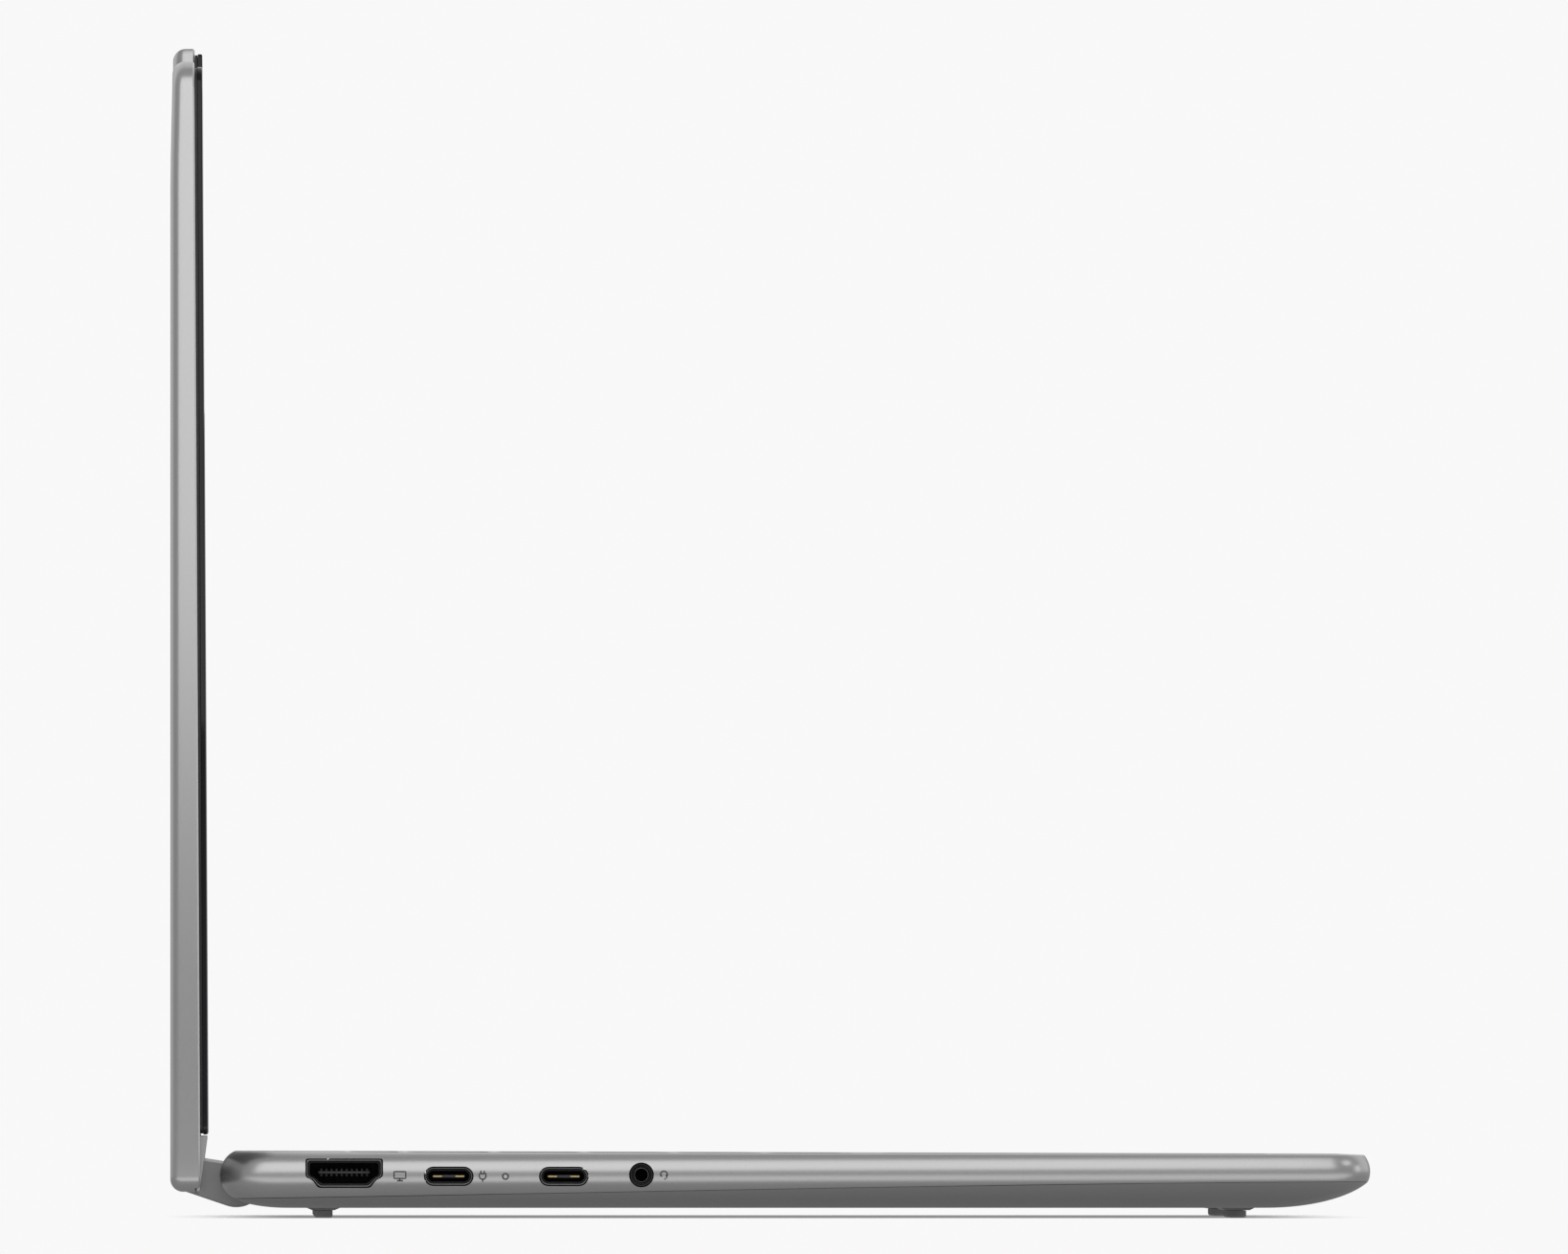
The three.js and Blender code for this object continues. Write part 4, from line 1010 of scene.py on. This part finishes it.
def arm_outline():
    """The side view of an arm: a large lobe on the lower axis, a small one on the upper."""
    lobe, tip, crown, slope = 5.85, 2.26, 4.5, 0.16
    edge = (UPPER_AXIS[0] - 4.2, UPPER_AXIS[1] + crown - 0.64)
    offset = edge[1] - LOWER_AXIS[1] - slope * (edge[0] - LOWER_AXIS[0])
    start = math.atan(slope) + math.pi - math.asin(offset * math.cos(math.atan(slope)) / lobe)
    dy, dz = UPPER_AXIS[0] - LOWER_AXIS[0], UPPER_AXIS[1] - LOWER_AXIS[1]
    tangent = math.atan2(dz, dy) - math.acos((lobe - tip) / math.hypot(dy, dz))
    top = math.acos(tip / crown)
    degrees = math.degrees
    outline = arc(lobe, degrees(start), degrees(tangent) + 360, LOWER_AXIS, 28)
    outline += arc(tip, degrees(tangent), 0, UPPER_AXIS, 10)
    outline += arc(crown, degrees(top), 90, UPPER_AXIS, 6)
    return outline + [edge]


def hinge_arms():
    outline = arm_outline()
    for name, side in (("left", -1), ("right", 1)):
        low, high = limits(f"hinge_arm_{name}")
        arm = piece_from(f"arm_{name}", *prism_x(outline, low.x, high.x))
        bores = [prism_x(circle(radius, axis, 32), *spans(side, 84, 101))
                 for radius, axis in ((1.55, LOWER_AXIS), (1.4, UPPER_AXIS))]
        carve(arm, bores)
        smooth(arm, 25)
        bevel(arm, 0.3, 3, 50)
        place(arm, "hinge_arms", hinge_metal, "hinge_metal", f"hinge_arm_{name}")


# ---- Lid, built in its own frame: y falls from 0 at the hinge to the free edge, z is 0 on the glass

BACK_AT_HINGE, BACK_TAPER = 7.46, 0.0054
ROLL_START, ROLL_LENGTH, ROLL_DROP = 198, 25, 0.4
PANEL_ROOM = (-153.3, -221.3, 0), (153.3, -8.5, 4.9)
CHIN_ROOM = (-155.4, -11.5, 0), (155.4, 2, 2.6)
CAMERA_ROOM = (-15.3, -224.5, 0), (15.3, -220, 4.1)
CAMERA_PLACE, WINDOW_PLACE = (0, -223.1), (3, -223.1)
GLASS_CORNER = LID_CORNER - 0.85


def lip(x, height, inset):
    """How far the free edge stands out at x."""
    share = min(1, max(0, (LIP_HALF + LIP_BLEND - inset - abs(x)) / LIP_BLEND))
    return height * share * share * (3 - 2 * share)


def free_edge(reach, inset):
    """Places across the free edge, close together where the lip starts."""
    start = LIP_HALF + LIP_BLEND - inset
    coarse = [reach + (start + 0.6 - reach) * i / 10 for i in range(1, 10)]
    fine = [start + 0.6 - (LIP_BLEND + 1.2) * i / 12 for i in range(13)]
    inner = [(LIP_HALF - inset - 0.6) * (1 - i / 12) for i in range(1, 12)]
    half = coarse + fine + inner
    return [-x for x in half] + [0] + half[::-1]


def lid_back(y):
    """Height of the lid's back face: it thins towards the free edge and rolls in a little at its end."""
    share = min(1, max(0, (-y - ROLL_START) / ROLL_LENGTH))
    return BACK_AT_HINGE + BACK_TAPER * y - ROLL_DROP * share * share * (3 - 2 * share)


def lid_ring(inset, hinge_inset, height, half, near, length, corner, hinge_corner, lip_height):
    """One closed outline of a lid layer; height is a function of y."""
    ring = []

    def corner_arc(side, y, radius, quarter):
        inward = -1 if quarter < 2 else 1
        for step in range(CORNER_STEPS + 1):
            angle = (quarter + step / CORNER_STEPS) * math.pi / 2
            ring.append((side * (half - inset - radius) + radius * math.cos(angle),
                         y + inward * radius + radius * math.sin(angle)))
    near_y, far_y = near - hinge_inset, -length + inset
    radius, hinge_radius = max(0.3, corner - inset), max(0.3, hinge_corner - inset)
    corner_arc(1, near_y, hinge_radius, 0)
    corner_arc(-1, near_y, hinge_radius, 1)
    for step in range(1, SIDE_STEPS):
        share = step / SIDE_STEPS
        ring.append((-(half - inset),
                     near_y - hinge_radius + share * (far_y + radius - near_y + hinge_radius)))
    corner_arc(-1, far_y, radius, 2)
    for x in free_edge(half - inset - radius, inset):
        ring.append((x, far_y - lip(x, lip_height, inset)))
    corner_arc(1, far_y, radius, 3)
    for step in range(1, SIDE_STEPS):
        share = step / SIDE_STEPS
        ring.append((half - inset, far_y + radius + share * (near_y - hinge_radius - far_y - radius)))
    return [(x, y, height(y)) for x, y in ring]


def lid_outside():
    def ring(inset, hinge_inset, height):
        return lid_ring(inset, hinge_inset, height, HALF_WIDTH, 0, LID_LENGTH, LID_CORNER, 3, LID_LIP)
    rings = [ring(0.32, 0.3, lambda y: LID_RIM), ring(0, 0, lambda y: LID_RIM + 0.32)]
    for step in range(11):
        angle = math.pi / 2 * step / 10

        def height(y, angle=angle):
            return lid_back(y) - LID_FILLET * (1 - math.sin(angle))
        inset = LID_FILLET * (1 - math.cos(angle))
        rings.append(ring(inset, inset, height))
    return loft(rings)


def lid_notches():
    return both_sides((NOTCH_INNER, NOTCH_OUTER), (-7.36, 2), (-1, 9))


def lid_cover():
    outside = lid_outside()
    cover = piece_from("lid_shell", *outside, LID_MATRIX)
    shaft_seats = [prism_x(circle(1.95, LID_AXIS, 32), *spans(side, 72.2, 83.5)) for side in (-1, 1)]
    bracket_rooms = both_sides((39.7, 83.5), (-42, LID_AXIS[0]), (4.1, 5.96))
    bores = [prism_x(circle(1.4, LID_AXIS, 24), *spans(side, 82.5, 85.5)) for side in (-1, 1)]
    for solids in ([block(*PANEL_ROOM)], [block(*CHIN_ROOM)], lid_notches(), [block(*CAMERA_ROOM)],
                   shaft_seats, bracket_rooms, bores):
        carve(cover, solids, matrix=LID_MATRIX)
    keep_curvature(cover, *outside, LID_MATRIX)
    place(cover, "lid", case_metal, "case_metal", "lid_cover")


def display():
    def sheet_through(levels):
        return loft([lid_ring(inset, inset, lambda y: z, GLASS_HALF, GLASS_NEAR, -GLASS_FAR, GLASS_CORNER, 2,
                              GLASS_TAB) for inset, z in levels])
    sheet = piece_from("cover_glass", *sheet_through(
        ((0.3, 0), (0.12, 0.05), (0.02, 0.18), (0, 0.3), (0, 0.9))), LID_MATRIX)
    seal = piece_from("glass_seal", *sheet_through(((0.25, 0.92), (0.2, 1.0), (0.2, 1.5))), LID_MATRIX)
    carve(seal, [block((-152, -220.6, 0), (152, -14, 3)),
                 prism_z(rounded(17, 2.6, 1.2, WINDOW_PLACE, 6), 0, 3)], matrix=LID_MATRIX)
    settle(seal, 40, "lid", trim, "display_trim", "display_gasket")
    carve(sheet, [prism_z(rounded(15, 1.7, 0.84, WINDOW_PLACE, 8), -1, 2)], matrix=LID_MATRIX)
    settle(sheet, 30, "lid", glass, "display_glass", "display_glass")
    pane = piece_from("camera_window", *prism_z(
        rounded(14.9, 1.6, 0.79, WINDOW_PLACE, 8), 0.1, 0.85), LID_MATRIX)
    settle(pane, 30, "lid", clear_glass, "display_glass")
    lens = piece_from("camera_lens", *stack(
        lambda inset: circle(0.75 - inset, CAMERA_PLACE, 24),
        [(1.5, 0.3), (1.55, 0.1), (1.75, 0)]), LID_MATRIX)
    settle(lens, 50, "lid", glass, "black_plastic")


def chin():
    strip = piece_from("chin_strip", *prism_x(
        [(-0.05, 1.67), (-0.05, 2.3), (-10.9, 2.3), (-10.9, 0.15)], -155.1, 155.1), LID_MATRIX)
    carve(strip, lid_notches(), matrix=LID_MATRIX)
    smooth(strip, 25)
    bevel(strip, 0.15, 2, 30)
    place(strip, "lid", hinge_metal, "case_metal", "lid_chin")


# ---- CAD nodes that stay, with finished materials ----

def dress(node, material):
    mesh = frame["nodes"][node].data
    mesh.materials.clear()
    mesh.materials.append(material)


def remaining_nodes():
    looks = {
        steel: ["base_hinge_bracket_left", "base_hinge_bracket_right", "lid_hinge_bracket_left",
                "lid_hinge_bracket_right", "lower_shaft_left", "lower_shaft_right", "upper_shaft_left",
                "upper_shaft_right"],
        black_plastic: ["keyboard_plate", "battery", "fan_housing", "fan_rotor", "speaker_left",
                        "speaker_right", "camera_module"],
        trim: ["lcd_panel"],
        board: ["mainboard", "ssd"],
        copper: ["heat_pipe", "heat_sink"],
        legend_paint: ["camera_shutter"],
    }
    for material, nodes in looks.items():
        for node in nodes:
            dress(node, material)


# ---- Stage ----

BACKGROUND = 0.94


def look_at(thing, target):
    direction = Vector(target) - thing.location
    thing.rotation_mode = "QUATERNION"
    thing.rotation_quaternion = direction.to_track_quat("-Z", "Y")


SENSOR_WIDTH, LENS, NEAR_CLIP, FAR_CLIP = 36, 1300, 1, 60
FRAME_WIDTH = 0.30906
FRAME_CENTRE = Vector((-HALF_WIDTH * MM, -0.0026, 0.1165))
EYE_Y, EYE_HEIGHT = 0.106, 0.022  # in the plane of the screen and a little above the keyboard


def camera():
    """A very long lens on the left side, so that depth hardly shows."""
    data = bpy.data.cameras.new("camera")
    data.sensor_width, data.lens = SENSOR_WIDTH, LENS
    data.clip_start, data.clip_end = NEAR_CLIP, FAR_CLIP
    eye = bpy.data.objects.new("camera", data)
    bpy.context.scene.collection.objects.link(eye)
    bpy.context.scene.camera = eye
    distance = FRAME_WIDTH * LENS / SENSOR_WIDTH
    eye.location = (FRAME_CENTRE.x - distance, EYE_Y, EYE_HEIGHT)
    look_at(eye, FRAME_CENTRE)


def softbox(name, location, target, width, height, radiance):
    data = bpy.data.lights.new(name, "AREA")
    data.shape, data.size, data.size_y = "RECTANGLE", width, height
    data.energy = radiance * math.pi * width * height
    lamp = bpy.data.objects.new(name, data)
    bpy.context.scene.collection.objects.link(lamp)
    lamp.location = location
    look_at(lamp, target)
    lamp.visible_camera = False


def lights():
    """Long softboxes beside both sides, small ones in front, and a strip low beside the base."""
    softbox("left_softbox", (-0.52, 0.127, 0.395), (-0.156, 0.127, 0.395), 0.6855, 0.59, 1.1)
    softbox("right_softbox", (0.62, 0, 0.45), (0.156, 0, 0.3), 0.9, 0.59, 0.5)
    softbox("corner_softbox", (-0.6, -0.8, 0.6), (-0.15, -0.1, 0.01), 0.36, 0.3, 1.5)
    softbox("low_strip", (-0.1805, 0, 0.0012), (-0.1805, 0, 1), 0.03, 0.3, 0.75)
    softbox("front_softbox", (-0.2, -1.0, 0.16), (-0.2, 0, 0.16), 0.3, 0.3, 1.2)


AMBIENT_STOPS = ((0.04, 0.45), (0.35, 0.94), (0.75, 0.94), (0.97, 0.2))


def world():
    """A dim studio with a pale backdrop on the right, darker again at its centre."""
    surroundings = bpy.data.worlds.new("studio")
    bpy.context.scene.world = surroundings
    surroundings.use_nodes = True
    tree = surroundings.node_tree
    nodes, links = tree.nodes, tree.links
    direction = nodes.new("ShaderNodeSeparateXYZ")
    links.new(nodes.new("ShaderNodeTexCoord").outputs["Generated"], direction.inputs["Vector"])
    brightness = nodes.new("ShaderNodeValToRGB")
    stops = brightness.color_ramp.elements
    while len(stops) < len(AMBIENT_STOPS):
        stops.new(1)
    for stop, (reach, value) in zip(stops, AMBIENT_STOPS):
        stop.position, stop.color = reach, (value, value, value, 1)
    links.new(direction.outputs["X"], brightness.inputs["Fac"])
    ambient = nodes["Background"]
    links.new(brightness.outputs["Color"], ambient.inputs["Color"])
    seen = nodes.new("ShaderNodeBackground")
    seen.inputs["Color"].default_value = (BACKGROUND, BACKGROUND, BACKGROUND, 1)
    choose_by_ray(tree, ambient, seen, nodes["World Output"].inputs["Surface"])


def choose_by_ray(tree, reflected, seen, target):
    """Uses one shader for light and reflections, and another for what the camera sees."""
    path = tree.nodes.new("ShaderNodeLightPath")
    mix = tree.nodes.new("ShaderNodeMixShader")
    tree.links.new(path.outputs["Is Camera Ray"], mix.inputs["Fac"])
    tree.links.new(reflected.outputs[0], mix.inputs[1])
    tree.links.new(seen.outputs[0], mix.inputs[2])
    tree.links.new(mix.outputs[0], target)


def glowing_paint(tree, albedo, strength):
    """Matt paint with an even glow, so that its shadows stay light."""
    paint = tree.nodes.new("ShaderNodeBsdfDiffuse")
    paint.inputs["Color"].default_value = (albedo, albedo, albedo, 1)
    glow = tree.nodes.new("ShaderNodeEmission")
    glow.inputs["Strength"].default_value = strength
    both = tree.nodes.new("ShaderNodeAddShader")
    tree.links.new(paint.outputs[0], both.inputs[0])
    tree.links.new(glow.outputs[0], both.inputs[1])
    return both


FLOOR_RADIUS, FLOOR_STEPS, FLOOR_DROP = 1.6, 96, 0.03
SHADOW_HALF, SHADOW_FADE = (0.14, 0.092), 0.03  # the shadow lies under the base and fades at its edges


def floor():
    """A pale round floor with a light shadow under the base, and clear to the view beyond the shadow."""
    low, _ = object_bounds()
    rim = circle(FLOOR_RADIUS / MM, steps=FLOOR_STEPS)
    corners = [(x, y, low.z / MM - FLOOR_DROP) for x, y in rim]
    ground = piece_from("floor", corners, [tuple(range(FLOOR_STEPS))])
    material = bpy.data.materials.new("pale_floor")
    material.use_nodes = True
    tree = material.node_tree
    nodes, links = tree.nodes, tree.links
    nodes.remove(nodes["Principled BSDF"])
    place = nodes.new("ShaderNodeTexCoord").outputs["Object"]
    for operation, vector in (("ABSOLUTE", None), ("SUBTRACT", (*SHADOW_HALF, 0)), ("MAXIMUM", (0, 0, 0))):
        step = nodes.new("ShaderNodeVectorMath")
        step.operation = operation
        links.new(place, step.inputs[0])
        if vector:
            step.inputs[1].default_value = vector
        place = step.outputs["Vector"]
    outside = nodes.new("ShaderNodeVectorMath")
    outside.operation = "LENGTH"
    links.new(place, outside.inputs[0])
    fade = nodes.new("ShaderNodeMapRange")
    fade.interpolation_type = "SMOOTHSTEP"
    fade.inputs["From Max"].default_value = SHADOW_FADE
    links.new(outside.outputs["Value"], fade.inputs["Value"])
    seen = nodes.new("ShaderNodeMixShader")
    links.new(fade.outputs["Result"], seen.inputs["Fac"])
    links.new(glowing_paint(tree, 0.55, 0.24).outputs[0], seen.inputs[1])
    links.new(nodes.new("ShaderNodeBsdfTransparent").outputs[0], seen.inputs[2])
    choose_by_ray(tree, glowing_paint(tree, 0.25, 0.22), seen, nodes["Material Output"].inputs["Surface"])
    ground.data.materials.append(material)
    ground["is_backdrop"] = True


# ---- Assembly ----

bpy.context.scene.view_settings.view_transform = "Standard"
camera()
world()
lights()
floor()
top_case()
bottom_cover()
feet()
screws()
keyboard()
touchpad()
sockets()
small_side_parts()
signs()
hinge_arms()
lid_cover()
display()
chin()
remaining_nodes()
